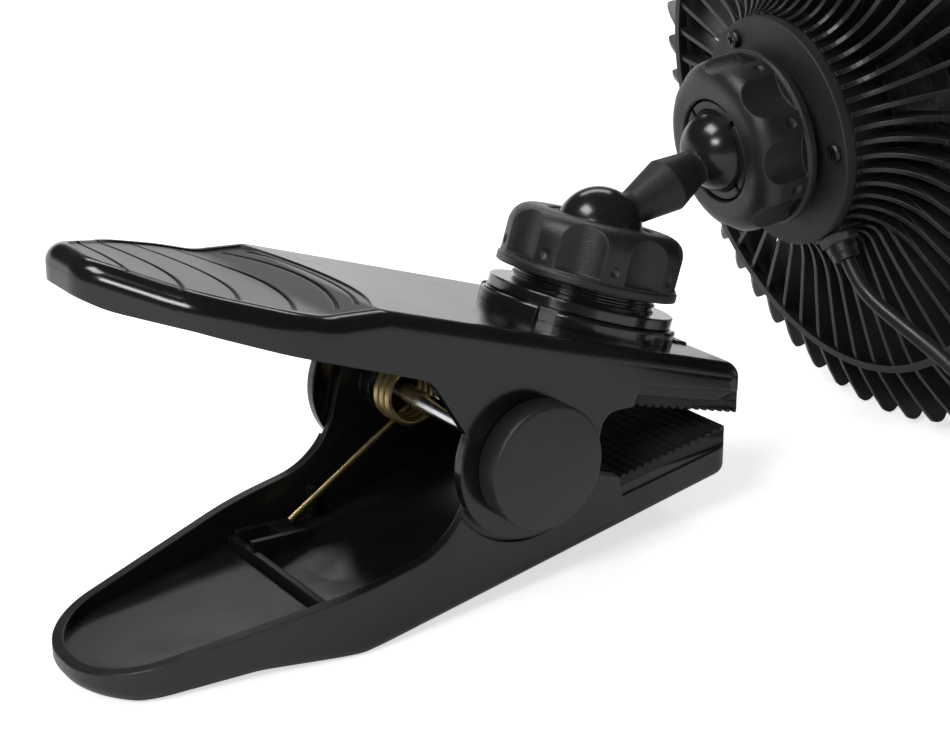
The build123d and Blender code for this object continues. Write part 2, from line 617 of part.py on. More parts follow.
def commutator():
    low, high = COMMUTATOR_SPAN
    bore = SHAFT_R + RUNNING
    body = ring(bore, COMMUTATOR_R, low, high)
    slot = block((2.9, 5.0), (-0.2, 0.2), (low - 1, high - 0.6))
    body = body.cut(*around(slot, POLES, 180.0 / POLES))
    return body + ring(bore, COMMUTATOR_R + 0.8, high - 0.2, high + 0.5)


def brushes():
    """Two carbon blocks, each on a post of the end bell."""
    low = MOTOR_SPAN[0] + BELL_THICK
    top = COMMUTATOR_SPAN[0] + 2.8
    brush = block((COMMUTATOR_R + RUNNING, 8.4), (-1.2, 1.2), (COMMUTATOR_SPAN[0] + 0.6, top))
    brush += block((6.2, 8.4), (-1.6, 1.6), (low, top))
    return group(around(brush, 2, 90.0))


def motor_shaft():
    return upright(SHAFT_R, SHAFT_SPAN[0], SHAFT_SPAN[1])


def blade_section(radius, chord, pitch):
    """A cambered blade section, square to the blade's length."""
    half = chord / 2
    camber = chord * 0.09
    lower = ThreePointArc((-half, 0), (0, camber), (half, 0))
    upper = ThreePointArc((half, 0.5), (0, camber + BLADE_THICK), (-half, 0.5))
    face = make_face([lower, Line(lower @ 1, upper @ 0), upper, Line(upper @ 1, lower @ 0)])
    slope = radians(pitch)
    return Plane(origin=(radius, 0, BLADE_MID), x_dir=(0, cos(slope), sin(slope)), z_dir=(1, 0, 0)) * face


def fan_blades():
    low, high = HUB_SPAN
    bore = SHAFT_R + RUNNING
    hub = turned([(bore, high - 2.0, 0.0), (HUB_R - 1.6, high - 2.0, 1.0), (HUB_R - 1.6, low, 0.0),
                  (HUB_R, low, 0.0), (HUB_R, high, 2.0), (bore, high, 0.0)])
    hub += ring(bore, 4.4, high - 9.0, high - 1.0)
    blade = loft([blade_section(*station) for station in BLADE_STATIONS])
    blade -= upright(HUB_R - 0.8, 30, 80)
    return hub.fuse(*around(blade, BLADES))


def blade_nut():
    high = HUB_SPAN[1]
    nut = turned([(0.0, high, 0.0), (SPINNER_NUT_R, high, 0.0), (SPINNER_NUT_R, high + 2.8, 1.2), (0.0, high + 2.8, 0.0)])
    return nut - upright(SHAFT_R + RUNNING, high - 1, SHAFT_SPAN[1])


# ================================================================ cord pieces
GLAND_END = GLAND_SEAT + GLAND_NUT + GLAND_BARREL


def strain_relief():
    """A hexagon nut and a barrel, along z outward from the housing."""
    nut = GLAND_SEAT + GLAND_NUT
    body = Pos(0, 0, GLAND_SEAT) * extrude(RegularPolygon(GLAND_HEX / 2, 6, major_radius=False, rotation=30), GLAND_NUT)
    body += upright(GLAND_BARREL_R + 0.4, nut - 0.5, GLAND_END - 2.2)
    return body + upright(GLAND_BARREL_R, nut, GLAND_END)


def coil_corners():
    """Piled turns: in, out, in and out, with a half turn to climb between layers."""
    turns = []
    angle = COIL_ENTRY
    radius = COIL_INNER_R + COIL_PITCH * COIL_QUARTERS / 4
    height = CORD_R + 0.1
    for layer in range(COIL_LAYERS):
        drift = COIL_PITCH / 4 * (-1 if layer % 2 == 0 else 1)
        for k in range(COIL_QUARTERS):
            turns.append((radius, angle, height))
            angle += 90.0
            radius += drift
        if layer < COIL_LAYERS - 1:
            turns.append((radius, angle, height))
            turns.append((radius, angle + 90.0, height + COIL_PITCH / 2))
            angle += 180.0
            height += COIL_PITCH
    turns.append((radius, angle, height))
    corners = []
    for radius, angle, height in turns:
        x, y = on_circle(radius / cos(radians(45.0)), angle)
        corners.append((COIL_CENTRE[0] + x, COIL_CENTRE[1] + y, height))
    return corners


def plug_pieces():
    """A 12 V accessory plug along z, from the cord's end to its tip."""
    body_end = PLUG_BOOT + PLUG_BODY
    ring_end = body_end + PLUG_RING
    boot = turned([(0.0, 0.0, 0.0), (3.4, 0.0, 0.4), (5.2, PLUG_BOOT, 0.0), (0.0, PLUG_BOOT, 0.0)])
    for z in (3.0, 6.0, 9.0):
        boot -= ring(CORD_R + 1.4, 8.0, z, z + 1.2)
    body = turned([(0.0, PLUG_BOOT, 0.0), (6.4, PLUG_BOOT, 1.0), (8.6, PLUG_BOOT + 8, 6.0), (PLUG_R, PLUG_BOOT + 14, 6.0),
                   (PLUG_R, body_end - 16, 0.6), (9.4, body_end - 15.4, 0.2), (9.4, body_end, 0.6), (0.0, body_end, 0.0)])
    contacts = []
    for side in (90.0, 270.0):
        room = Rot(0, 0, side) * block((8.0, 12.0), (-2.2, 2.2), (body_end - 13, body_end - 3))
        body -= room
        spring = block((8.2, 9.6), (-1.9, 1.9), (body_end - 12.8, body_end - 3.2))
        spring += Pos(7.9, 0, body_end - 8) * Rot(90, 0, 0) * Cylinder(2.4, 3.8)
        spring &= block((8.2, 12.0), (-1.9, 1.9), (body_end - 12.8, body_end - 3.2))
        contacts.append(Rot(0, 0, side) * spring)
    nose = turned([(0.0, body_end, 0.0), (8.4, body_end, 0.3), (7.2, ring_end, 1.0), (0.0, ring_end, 0.0)])
    nose -= upright(3.6, body_end - 1, ring_end + 1)
    tip = turned([(0.0, body_end, 0.0), (3.4, body_end, 0.0), (3.4, ring_end + PLUG_TIP, 2.6),
                  (0.0, ring_end + PLUG_TIP, 0.0)])
    return boot, body, group(contacts), nose, tip


def least_gap(path, radius, skip):
    """The least room between the tube's sides where it passes itself."""
    step = 0.9
    count = int(path.length / step)
    spots = [path @ (i / count) for i in range(count + 1)]
    away = int(skip / step)
    least = 1e9
    for i in range(0, len(spots), 2):
        here = spots[i]
        for there in spots[i + away:]:
            if abs(here.X - there.X) < 8 and abs(here.Y - there.Y) < 8:
                least = min(least, (here - there).length)
    return least - 2 * radius


# ================================================================ places
CLAMP = Pos(0, 0, PIVOT_HEIGHT) * Rot(0, CLAMP_PITCH, 0)
SOCKET_Z = height_on(TOP_LINE, SOCKET_X)
SOCKET_LEAN = degrees(atan2(TOP_LINE[1][1] - TOP_LINE[0][1], TOP_LINE[0][0] - TOP_LINE[1][0]))
ARM_SOCKET = CLAMP * Pos(SOCKET_X, 0, SOCKET_Z) * Rot(0, SOCKET_LEAN, 0)
BALL_1 = (ARM_SOCKET * Pos(0, 0, BALL_Z)).position
LINK = Pos(BALL_1) * Rot(0, 90.0 - LINK_RISE, 0)
BALL_2 = (LINK * Pos(0, 0, LINK_LENGTH)).position
RISE, YAW = radians(HEAD_RISE), radians(HEAD_YAW)
HEAD_AXIS = Vector(cos(RISE) * cos(YAW), cos(RISE) * sin(YAW), sin(RISE))
HEAD_DOWN = Vector(0, 0, -1) - HEAD_AXIS * -HEAD_AXIS.Z
HEAD = Location(Plane(origin=BALL_2, z_dir=HEAD_AXIS, x_dir=HEAD_DOWN.normalized()))
HEAD_SOCKET = HEAD * Pos(0, 0, BALL_Z) * Rot(180, 0, 0)
GLAND = HEAD * gland_place()


def cord_routes():
    """The run, the coil and the tail, as the points of their paths."""
    exit_point = (GLAND * Pos(0, 0, GLAND_END)).position
    straight = (GLAND * Pos(0, 0, GLAND_END + CORD_START)).position
    corners = coil_corners()
    start = between(corners[0], corners[1])
    end = between(corners[-2], corners[-1])
    run = [tuple(exit_point), tuple(straight)] + ROUTE + [corners[0], start]
    coil = [start] + corners[1:-1] + [end]
    lead_x, lead_y = on_circle(PLUG_LEAD, PLUG_HEADING)
    height = PLUG_R + 0.1
    plug = (*PLUG_PLACE, height)
    tail = [end, corners[-1]] + TAIL + [(plug[0] - lead_x, plug[1] - lead_y, height), plug]
    return run, coil, tail


def main():
    pieces = {}

    def put(place, **named):
        for name, shape in named.items():
            pieces[name] = place * shape

    spring, spring_path = clamp_spring()
    lower_carrier, lower_grip = pad_layers(LOWER_PAD)
    upper_carrier, upper_grip = pad_layers(UPPER_PAD)
    put(CLAMP, lower_jaw=lower_jaw(), upper_jaw=upper_jaw(), lower_pad_carrier=lower_carrier,
        lower_grip_pad=lower_grip, upper_pad_carrier=upper_carrier, upper_grip_pad=upper_grip,
        pivot_axle=pivot_axle(), pivot_cap_near=pivot_cap(-1), pivot_cap_far=pivot_cap(1), clamp_spring=spring)
    put(ARM_SOCKET, mount_foot=mount_foot(), arm_socket=arm_socket(), clamp_collet=collet(),
        clamp_lock_nut=lock_nut())
    put(LINK, ball_link=ball_link())
    put(HEAD_SOCKET, head_plate=head_plate(), head_collet=collet(), head_lock_nut=lock_nut())
    put(HEAD, plate_screws=plate_screws(), motor_housing=motor_housing(), housing_cover=housing_cover(),
        rear_grille=rear_grille(), front_grille=front_grille(), switch_rocker=switch_rocker(),
        motor_can=motor_can(), motor_end_bell=motor_end_bell(), shaft_bushings=shaft_bushings(),
        field_magnets=field_magnets(), brushes=brushes(), armature_core=armature_core(),
        armature_windings=armature_windings(), commutator=commutator(), motor_shaft=motor_shaft(),
        fan_blades=fan_blades(), blade_nut=blade_nut())
    put(GLAND, strain_relief=strain_relief())
    object_names = list(pieces)

    run, coil, tail = cord_routes()
    run_path, run_radii = tube_path(run)
    coil_path, coil_radii = tube_path(coil, 0.48)
    tail_path, tail_radii = tube_path(tail)
    level = Pos(0, 0, 0)
    put(level, cord_run=tube(run_path, CORD_R), cord_coil=tube(coil_path, CORD_R), cord_tail=tube(tail_path, CORD_R))
    plug_place = Pos(*PLUG_PLACE, PLUG_R + 0.1) * Rot(0, 0, PLUG_HEADING) * Rot(0, 90, 0)
    boot, body, contacts, nose, tip = plug_pieces()
    put(plug_place, plug_boot=boot, plug_body=body, plug_side_contacts=contacts, plug_ring=nose, plug_tip=tip)

    boxes = [pieces[name].bounding_box() for name in object_names]
    middle_x = (min(b.min.X for b in boxes) + max(b.max.X for b in boxes)) / 2
    middle_y = (min(b.min.Y for b in boxes) + max(b.max.Y for b in boxes)) / 2
    lowest = min(b.min.Z for b in boxes)
    print("shift %.3f %.3f %.3f" % (-middle_x, -middle_y, -lowest))
    shift = Pos(-middle_x, -middle_y, -lowest)

    os.makedirs("parts", exist_ok=True)
    for name, shape in pieces.items():
        placed = shift * shape
        export_step(placed, os.path.join("parts", name + ".step"))
        print("%-20s solids %2d volume %10.1f" % (name, len(placed.solids()), placed.volume))

    for name, path, radius, radii in (("cord_run", run_path, CORD_R, run_radii),
                                      ("cord_coil", coil_path, CORD_R, coil_radii),
                                      ("cord_tail", tail_path, CORD_R, tail_radii),
                                      ("clamp_spring", spring_path, SPRING_WIRE / 2, [])):
        section = pi * radius * radius * path.length
        print("%s length %.1f, volume %.1f against section by length %.1f" % (name, path.length,
                                                                           pieces[name].volume, section))
        if radii:
            print("  radii from %.1f to %.1f" % (min(radii), max(radii)), [round(r, 1) for r in radii[:12]])
    print("coil least gap to itself %.2f" % least_gap(coil_path, CORD_R, 60))
    print("spring least gap to itself %.2f" % least_gap(spring_path, SPRING_WIRE / 2, 25))
    for name in ("lower_jaw", "rear_grille", "front_grille"):
        print(name, "lowest", round(pieces[name].bounding_box().min.Z - lowest, 2))
    for name, place in (("pivot", CLAMP), ("arm socket", ARM_SOCKET), ("link", LINK), ("head", HEAD),
                        ("plug", plug_place)):
        spot = (shift * place).position
        axis = Plane(place).z_dir
        print("%-10s at %.3f %.3f %.3f, z along %.5f %.5f %.5f" % (name, spot.X, spot.Y, spot.Z, axis.X, axis.Y, axis.Z))


main()
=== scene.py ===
from math import asin, atan2, cos, hypot, pi, radians, sin

import bmesh
import bpy
from mathutils import Matrix, Vector


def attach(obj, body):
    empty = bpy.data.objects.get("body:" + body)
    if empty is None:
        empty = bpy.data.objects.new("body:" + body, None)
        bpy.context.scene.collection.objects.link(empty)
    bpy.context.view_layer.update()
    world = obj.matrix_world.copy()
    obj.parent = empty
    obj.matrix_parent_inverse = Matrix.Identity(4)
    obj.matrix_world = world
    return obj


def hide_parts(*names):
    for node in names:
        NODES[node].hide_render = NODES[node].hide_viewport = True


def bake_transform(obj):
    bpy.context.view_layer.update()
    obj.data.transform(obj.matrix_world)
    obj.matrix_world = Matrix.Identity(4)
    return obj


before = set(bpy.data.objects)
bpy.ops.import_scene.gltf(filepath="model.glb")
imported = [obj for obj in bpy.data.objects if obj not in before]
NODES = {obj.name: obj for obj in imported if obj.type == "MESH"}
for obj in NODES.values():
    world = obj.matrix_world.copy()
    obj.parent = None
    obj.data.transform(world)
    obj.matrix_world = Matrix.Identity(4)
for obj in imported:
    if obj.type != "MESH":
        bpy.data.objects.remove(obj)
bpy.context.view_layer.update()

# ---------------------------------------------------------------- places
PIVOT = Vector((-0.027948, 0.004757, 0.035934))     # the clamp's axle
CLAMP_LEAN = 5.0                                    # nose-down lean of the clamp
BALL_1 = Vector((0.020284, 0.004757, 0.072372))     # the link's ball in the clamp's nut
BALL_2 = Vector((0.060899, 0.004757, 0.084991))     # the link's ball in the head's nut
FAN_AXIS = Vector((0.99252, -0.09207, 0.08020))

# ---------------------------------------------------------------- camera
CAMERA_PLACE = Vector((-0.259108, -0.386493, 0.223504))
CAMERA_AZIMUTH = 58.49
CAMERA_DIP = 21.342
CAMERA_ROLL = -4.498
CAMERA_LENS = 75.8              # lens and sensor in millimetres
CAMERA_SENSOR = 36.0
CAMERA_CLIP = (0.01, 50.0)

# ---------------------------------------------------------------- cord
CORD_DIAMETER = 0.004
CORD_RUN = [
    (0.08287, -0.01807, 0.05495), (0.08298, -0.02163, 0.04951), (0.08275, -0.02824, 0.04543),
    (0.08285, -0.03924, 0.04143), (0.08325, -0.05324, 0.03623), (0.08465, -0.06624, 0.02783),
    (0.08665, -0.07674, 0.01803), (0.08905, -0.08724, 0.00863), (0.09145, -0.10374, 0.00253),
    (0.08631, -0.13498, 0.00193)]
CORD_TAIL = [
    (0.16179, -0.10751, 0.01753), (0.17605, -0.08824, 0.01443), (0.19805, -0.08624, 0.01183),
    (0.20996, -0.10435, 0.01033), (0.21205, -0.12424, 0.01033)]
COIL_MIDDLE = (0.12405, -0.12124)
COIL_FLOOR = 0.00193            # height of the cord's middle in the lowest layer
COIL_START = 200.0              # where the first outer turn begins
COIL_OUTER = 0.0284             # radius of the outer turn
COIL_INNER = 0.018
COIL_PITCH = 0.0052             # from a layer to the next
COIL_WIND = 720.0               # turn in a layer
COIL_CLIMB = 180.0              # turn over which it climbs to the next layer
COIL_LAYERS = 4
COIL_STEP = 30.0                # between the cord's points

# ---------------------------------------------------------------- torsion spring, about the axle
SPRING_WIRE = 0.0018
SPRING_R = 0.0069
SPRING_TURNS = 3
SPRING_Y = (0.0246, 0.0154)             # where the lower leg and the upper leg lie along the axle
SPRING_LOWER_END = (-0.0318, -0.0294)   # x and z on the clamp
SPRING_UPPER_END = (-0.035, 0.0364)
SPRING_STEP = 24.0                      # between the wire's points

# ---------------------------------------------------------------- round lines
LINE_ORDER = 3                  # of the NURBS curve
LINE_STEPS = 6                  # pieces between two controls
LINE_ROUND = 5                  # points added to a quarter of the section

# ---------------------------------------------------------------- fins between the housing and the vanes
VANES = 52
FIN_THICK = 0.0012
FIN_GAP = 14.0                  # kept free each side of the cord's gland
GLAND_ANGLE = -33.0
FIN_INNER = 0.0302              # a fin's foot, inside the housing's rib
FIN_START = (0.0308, 0.0196)    # where its curved edge starts: radius, and place along the fan's axis
FIN_END = (0.050, 0.0319)       # where it runs out along the vane
FIN_BACK = 0.0332               # its other edge, inside the grille
FIN_STEPS = 14

# ---------------------------------------------------------------- caps on the axle's ends
CAP_R = 0.01505
CAP_SEAT = 0.0365               # from the clamp's middle to the foot of a cap
CAP_FOOT = 0.0004               # bevel at the foot
CAP_WALL = 0.0062
CAP_ROUND = 0.0009              # radius of the edge round the face
CAP_ROUND_STEPS = 6
CAP_DOME = 0.0008               # rise of the face over its edge
CAP_DOME_STEPS = 12
CAP_SEGMENTS = 128

# ---------------------------------------------------------------- bars on the upper jaw's tip
TIP_RIDGES = (0.0589, 0.0611, 0.0633)   # each bar's x on the clamp
TIP_TOP = (0.0664, 0.00974)             # x and z of the jaw's top edge at its tip
TIP_SLOPE = -0.3066
TIP_RIDGE_HALF = (0.00055, 0.013)       # half of a bar's top, along the clamp and across it
TIP_RIDGE_FLARE = 1.6                   # its foot's width, as a share of its top's
TIP_RIDGE_RISE = 0.0006                 # above the jaw, and as deep into it

# ---------------------------------------------------------------- grip pads
PAD_HALF = 0.0336               # half of a pad's width
PAD_RIDGES = 14
PAD_RIDGE_HEIGHT = 0.0008
# the points of a ridge: each one's share of the ridge's length, and 1 where it is low
PAD_RIDGE_STEPS = ((0.06, 1), (0.31, 0), (0.68, 0), (0.93, 1))
PAD_STEP = 0.0009               # between the points of its outline, at least
# each pad: its body; the x and z on the clamp of its seat's inner and outer end, and of its face's outer and
# inner end; and the x, the y and the radius of the jaw's rounded corner
PADS = {
    "upper": ("upper_clamp", ((0.0316, 0.0120), (0.0657, 0.0035), (0.0646, -0.0020), (0.0300, 0.0066)),
              (0.0602, 0.0285, 0.0060)),
    "lower": ("clamp_base", ((0.0285, -0.0162), (0.061896, -0.009501), (0.0606, -0.0043), (0.0276, -0.0109)),
              (0.0578, 0.0300, 0.0040))}

# ---------------------------------------------------------------- masked finishes
PANEL_FRONT = 0.0305            # thumb panel's front arc, behind the axle
PANEL_ARC = 0.062               # that arc's radius
PANEL_BACK = 0.055              # behind the axle, where its rounded end begins
PANEL_END = 0.038               # length of that end
PANEL_HALF = 0.0314             # half of its width
PANEL_ABOVE = 0.036             # it is only on faces above this
PANEL_LOOK = (0.3, 2.5)         # its roughness, and its relief as a share of the shell's
BALL_REACH = 0.01115            # the polish reaches this far from a ball's middle
BALL_LOOK = (0.2, 0.2)

# ---------------------------------------------------------------- marks of moulding and use
WAVE_SCALE = 160.0              # scales are counts in a metre
SHADE_SCALE = 38.0
SHADE_EDGES = (0.3, 0.7)        # each pair named EDGES is where a smooth step starts and ends
SHADE_CHANGE = 0.18             # lighter and darker than the colour by this share
SMUDGE_EDGES = (0.42, 0.66)
SCRATCH_RUNS = (((0.3, 0.5, 0.4), 900.0), ((0.1, -0.6, -0.9), 1200.0))      # the lines' lie and count
SCRATCH_ALONG = 22.0
SCRATCH_DEEP = 0.05             # scale through the surface, as a share of the count
SCRATCH_EDGES = (0.74, 0.78)
SCRATCH_PATCHES = 70.0
PATCH_EDGES = (0.5, 0.62)
DUST_SCALE = 380.0
DUST_EDGES = (0.05, 0.02)
DUST_FEW = 0.72                 # share of the cells that hold no speck
LYING_EDGES = (0.1, 0.8)        # how far up a face looks before dust lies on it
RIM_EDGES = (0.995, 0.80)       # dot product of the rounded normal and the flat one
# painted highlight: how far a moulded edge's colour goes towards its lighter, painted highlight colour
RIM_HIGHLIGHT_SHARE = 0.7
SCRATCH_COLOUR = (0.12, 0.12, 0.12, 1.0)
SCRATCH_SHARE = 0.5
SCRATCH_ROUGH = 0.2
SCRATCH_DEPTH = 0.4
DUST_COLOUR = (0.32, 0.31, 0.3, 1.0)
GRAIN_ROUGH = 0.06
PLASTIC_RELIEF = 0.0002
COAT_ROUGH = 0.06
TARNISH_SCALE = 240.0
TARNISH_EDGES = (0.35, 0.65)
METAL_SMUDGE_SIZE = 0.012
METAL_SMUDGE = 0.12
METAL_GRAIN_ROUGH = 0.1
METAL_RELIEF = 0.0001

# ---------------------------------------------------------------- studio
WHITE = (1.0, 1.0, 1.0, 1.0)
FLOOR_REACH = 8.0
FLOOR_DROP = 0.0002             # below the fan's feet
FLOOR_COLOUR = (0.9, 0.9, 0.9, 1.0)
FLOOR_ROUGH = 0.9
FLOOR_SPECULAR = 0.1
FLOOR_SEEN = 0.66               # light added where the floor is seen
FLOOR_MIRRORED = 0.7            # light added where the fan mirrors the far floor
FLOOR_EDGES = (0.5, 1.6)        # where the far floor starts
# each lamp: its place, the point it faces, its two sides and its power in watts
LAMPS = {
    "lamp_back": ((0.7, 1.0, 1.0), (0.0, 0.0, 0.05), (1.0, 0.3), 4.0),
    "lamp_over": ((-0.42, 0.1, 0.95), (0.0, 0.0, 0.03), (0.45, 0.3), 5.0),
    "lamp_front": ((-0.85, -0.5, 0.75), (0.0, 0.0, 0.05), (0.35, 0.25), 5.0)}
SURROUND = (0.34, 0.34, 0.35, 1.0)
HORIZON_EDGES = (0.05, 0.26)
FAR_WAY = (0.52, 0.85, 0.0)     # towards the far wall
FAR_EDGES = (-0.3, 0.6)
# what the fan mirrors of each wall, below the horizon and above it
NEAR_WALL = ((0.2, 0.2, 0.21, 1.0), (0.06, 0.06, 0.064, 1.0))
FAR_WALL = ((1.15, 1.15, 1.16, 1.0), (0.05, 0.05, 0.053, 1.0))


# ================================================================ node helpers
def node(tree, kind, inputs=None, **settings):
    """A shader node with its settings, and its inputs by name or number: a value, or a socket linked in."""
    made = tree.nodes.new(kind)
    for name, value in settings.items():
        setattr(made, name, value)
    for name, value in (inputs or {}).items():
        socket = made.inputs[name]
        if isinstance(value, bpy.types.NodeSocket):
            tree.links.new(value, socket)
        else:
            socket.default_value = value
    return made


def maths(tree, operation, *values, clamp=False):
    """One sum on up to three values or sockets."""
    made = node(tree, "ShaderNodeMath", dict(enumerate(values)), operation=operation, use_clamp=clamp)
    return made.outputs[0]


def spread(tree, value, low, high):
    """0 up to the low value and 1 from the high one, with a smooth step between."""
    made = node(tree, "ShaderNodeMapRange", {"Value": value, "From Min": low, "From Max": high},
                interpolation_type="SMOOTHSTEP")
    return made.outputs["Result"]


def blend_colour(tree, share, first, second):
    """The first colour where the share is 0, and the second where it is 1."""
    return node(tree, "ShaderNodeMix", {0: share, 6: first, 7: second}, data_type="RGBA").outputs[2]


def blend_value(tree, share, first, second):
    """The first value where the share is 0, and the second where it is 1."""
    return node(tree, "ShaderNodeMix", {0: share, 2: first, 3: second}, data_type="FLOAT").outputs[0]


def noise(tree, place, scale, detail=2.0, roughness=0.5, distortion=0.0):
    """Cloudy values from 0 to 1."""
    made = node(tree, "ShaderNodeTexNoise", {"Vector": place, "Scale": scale, "Detail": detail,
                                             "Roughness": roughness, "Distortion": distortion})
    return made.outputs["Fac"]


def object_place(tree):
    """Where a point lies in its own piece."""
    return node(tree, "ShaderNodeTexCoord").outputs["Object"]


def new_group(name, inputs, outputs):
    """An empty shader group with named sockets; returns it with its two end nodes."""
    tree = bpy.data.node_groups.new(name, "ShaderNodeTree")
    kinds = {"value": "NodeSocketFloat", "vector": "NodeSocketVector"}
    for label, kind, default in inputs:
        socket = tree.interface.new_socket(name=label, in_out="INPUT", socket_type=kinds[kind])
        socket.default_value = default
    for label, kind in outputs:
        tree.interface.new_socket(name=label, in_out="OUTPUT", socket_type=kinds[kind])
    return tree, tree.nodes.new("NodeGroupInput"), tree.nodes.new("NodeGroupOutput")


# ================================================================ shared effects
def moulded_skin_group():
    """Moulded plastic: fine grain, slow waviness, and a slow change of shade."""
    tree, given, result = new_group(
        "moulded_skin", [("Grain Size", "value", 0.0004), ("Grain Depth", "value", 0.3),
                         ("Wave Depth", "value", 0.3)],
        [("Height", "value"), ("Shade", "value"), ("Grain", "value")])
    place = object_place(tree)
    grain = noise(tree, place, maths(tree, "DIVIDE", 1.0, given.outputs["Grain Size"]), 3.0, 0.6)
    wave = noise(tree, place, WAVE_SCALE, 1.0)
    shade = noise(tree, place, SHADE_SCALE, 4.0, 0.6)
    fine = maths(tree, "MULTIPLY", grain, given.outputs["Grain Depth"])
    slow = maths(tree, "MULTIPLY", wave, given.outputs["Wave Depth"])
    tree.links.new(maths(tree, "ADD", fine, slow), result.inputs["Height"])
    tree.links.new(spread(tree, shade, *SHADE_EDGES), result.inputs["Shade"])
    tree.links.new(grain, result.inputs["Grain"])
    return tree


def handling_group():
    """Traces of use: smudges from hands, hairline scratches and specks of dust."""
    tree, given, result = new_group(
        "handling", [("Smudge Size", "value", 0.03), ("Scratches", "value", 0.5), ("Dust", "value", 0.5)],
        [("Smudge", "value"), ("Scratch", "value"), ("Speck", "value")])
    place = object_place(tree)
    smudge = noise(tree, place, maths(tree, "DIVIDE", 1.0, given.outputs["Smudge Size"]), 5.0, 0.62, 1.2)
    tree.links.new(spread(tree, smudge, *SMUDGE_EDGES), result.inputs["Smudge"])
    lines = []
    for turn, across in SCRATCH_RUNS:
        slanted = node(tree, "ShaderNodeMapping", {"Vector": place, "Rotation": turn,
                                                   "Scale": (SCRATCH_ALONG, across, across * SCRATCH_DEEP)})
        streak = noise(tree, slanted.outputs[0], 1.0, 1.0)
        lines.append(spread(tree, streak, *SCRATCH_EDGES))
    patch = spread(tree, noise(tree, place, SCRATCH_PATCHES, 2.0), *PATCH_EDGES)
    both = maths(tree, "MAXIMUM", *lines)
    scratch = maths(tree, "MULTIPLY", maths(tree, "MULTIPLY", both, patch), given.outputs["Scratches"])
    tree.links.new(scratch, result.inputs["Scratch"])
    cells = node(tree, "ShaderNodeTexVoronoi", {"Vector": place, "Scale": DUST_SCALE, "Randomness": 1.0})
    near = spread(tree, cells.outputs["Distance"], *DUST_EDGES)
    chance = node(tree, "ShaderNodeSeparateColor", {"Color": cells.outputs["Color"]}).outputs[0]
    few = maths(tree, "GREATER_THAN", chance, DUST_FEW)
    facing = node(tree, "ShaderNodeNewGeometry").outputs["Normal"]
    upward = node(tree, "ShaderNodeSeparateXYZ", {"Vector": facing}).outputs["Z"]
    lying = spread(tree, upward, *LYING_EDGES)
    speck = maths(tree, "MULTIPLY", maths(tree, "MULTIPLY", near, few), lying)
    tree.links.new(maths(tree, "MULTIPLY", speck, given.outputs["Dust"]), result.inputs["Speck"])
    return tree


def soft_edge_group():
    """Rounds a sharp moulded edge in the shading, and marks where it is; the plastics paint a highlight and
    change roughness there.
    """
    tree, given, result = new_group("soft_edge", [("Radius", "value", 0.0005)],
                                    [("Normal", "vector"), ("Edge", "value")])
    rounded = node(tree, "ShaderNodeBevel", {"Radius": given.outputs["Radius"]}, samples=4).outputs[0]
    flat = node(tree, "ShaderNodeNewGeometry").outputs["Normal"]
    along = node(tree, "ShaderNodeVectorMath", {0: rounded, 1: flat}, operation="DOT_PRODUCT")
    tree.links.new(rounded, result.inputs["Normal"])
    tree.links.new(spread(tree, along.outputs["Value"], *RIM_EDGES), result.inputs["Edge"])
    return tree


GROUPS = {"skin": moulded_skin_group(), "handling": handling_group(), "edge": soft_edge_group()}


def use_group(tree, name, **values):
    """A shared effect placed in a material, with its values by name; returns its outputs."""
    made = tree.nodes.new("ShaderNodeGroup")
    made.node_tree = GROUPS[name]
    for label, value in values.items():
        made.inputs[label.replace("_", " ")].default_value = value
    return made.outputs


# ================================================================ materials
def new_material(name):
    """A material with its node tree and its shader."""
    made = bpy.data.materials.new(name)
    made.use_nodes = True
    tree = made.node_tree
    return made, tree, tree.nodes["Principled BSDF"]


def shade_range(colour, change):
    """A colour's darker and lighter neighbour, as the ends of a slow change of shade."""
    return (*[c * (1 - change) for c in colour], 1.0), (*[c * (1 + change) for c in colour], 1.0)


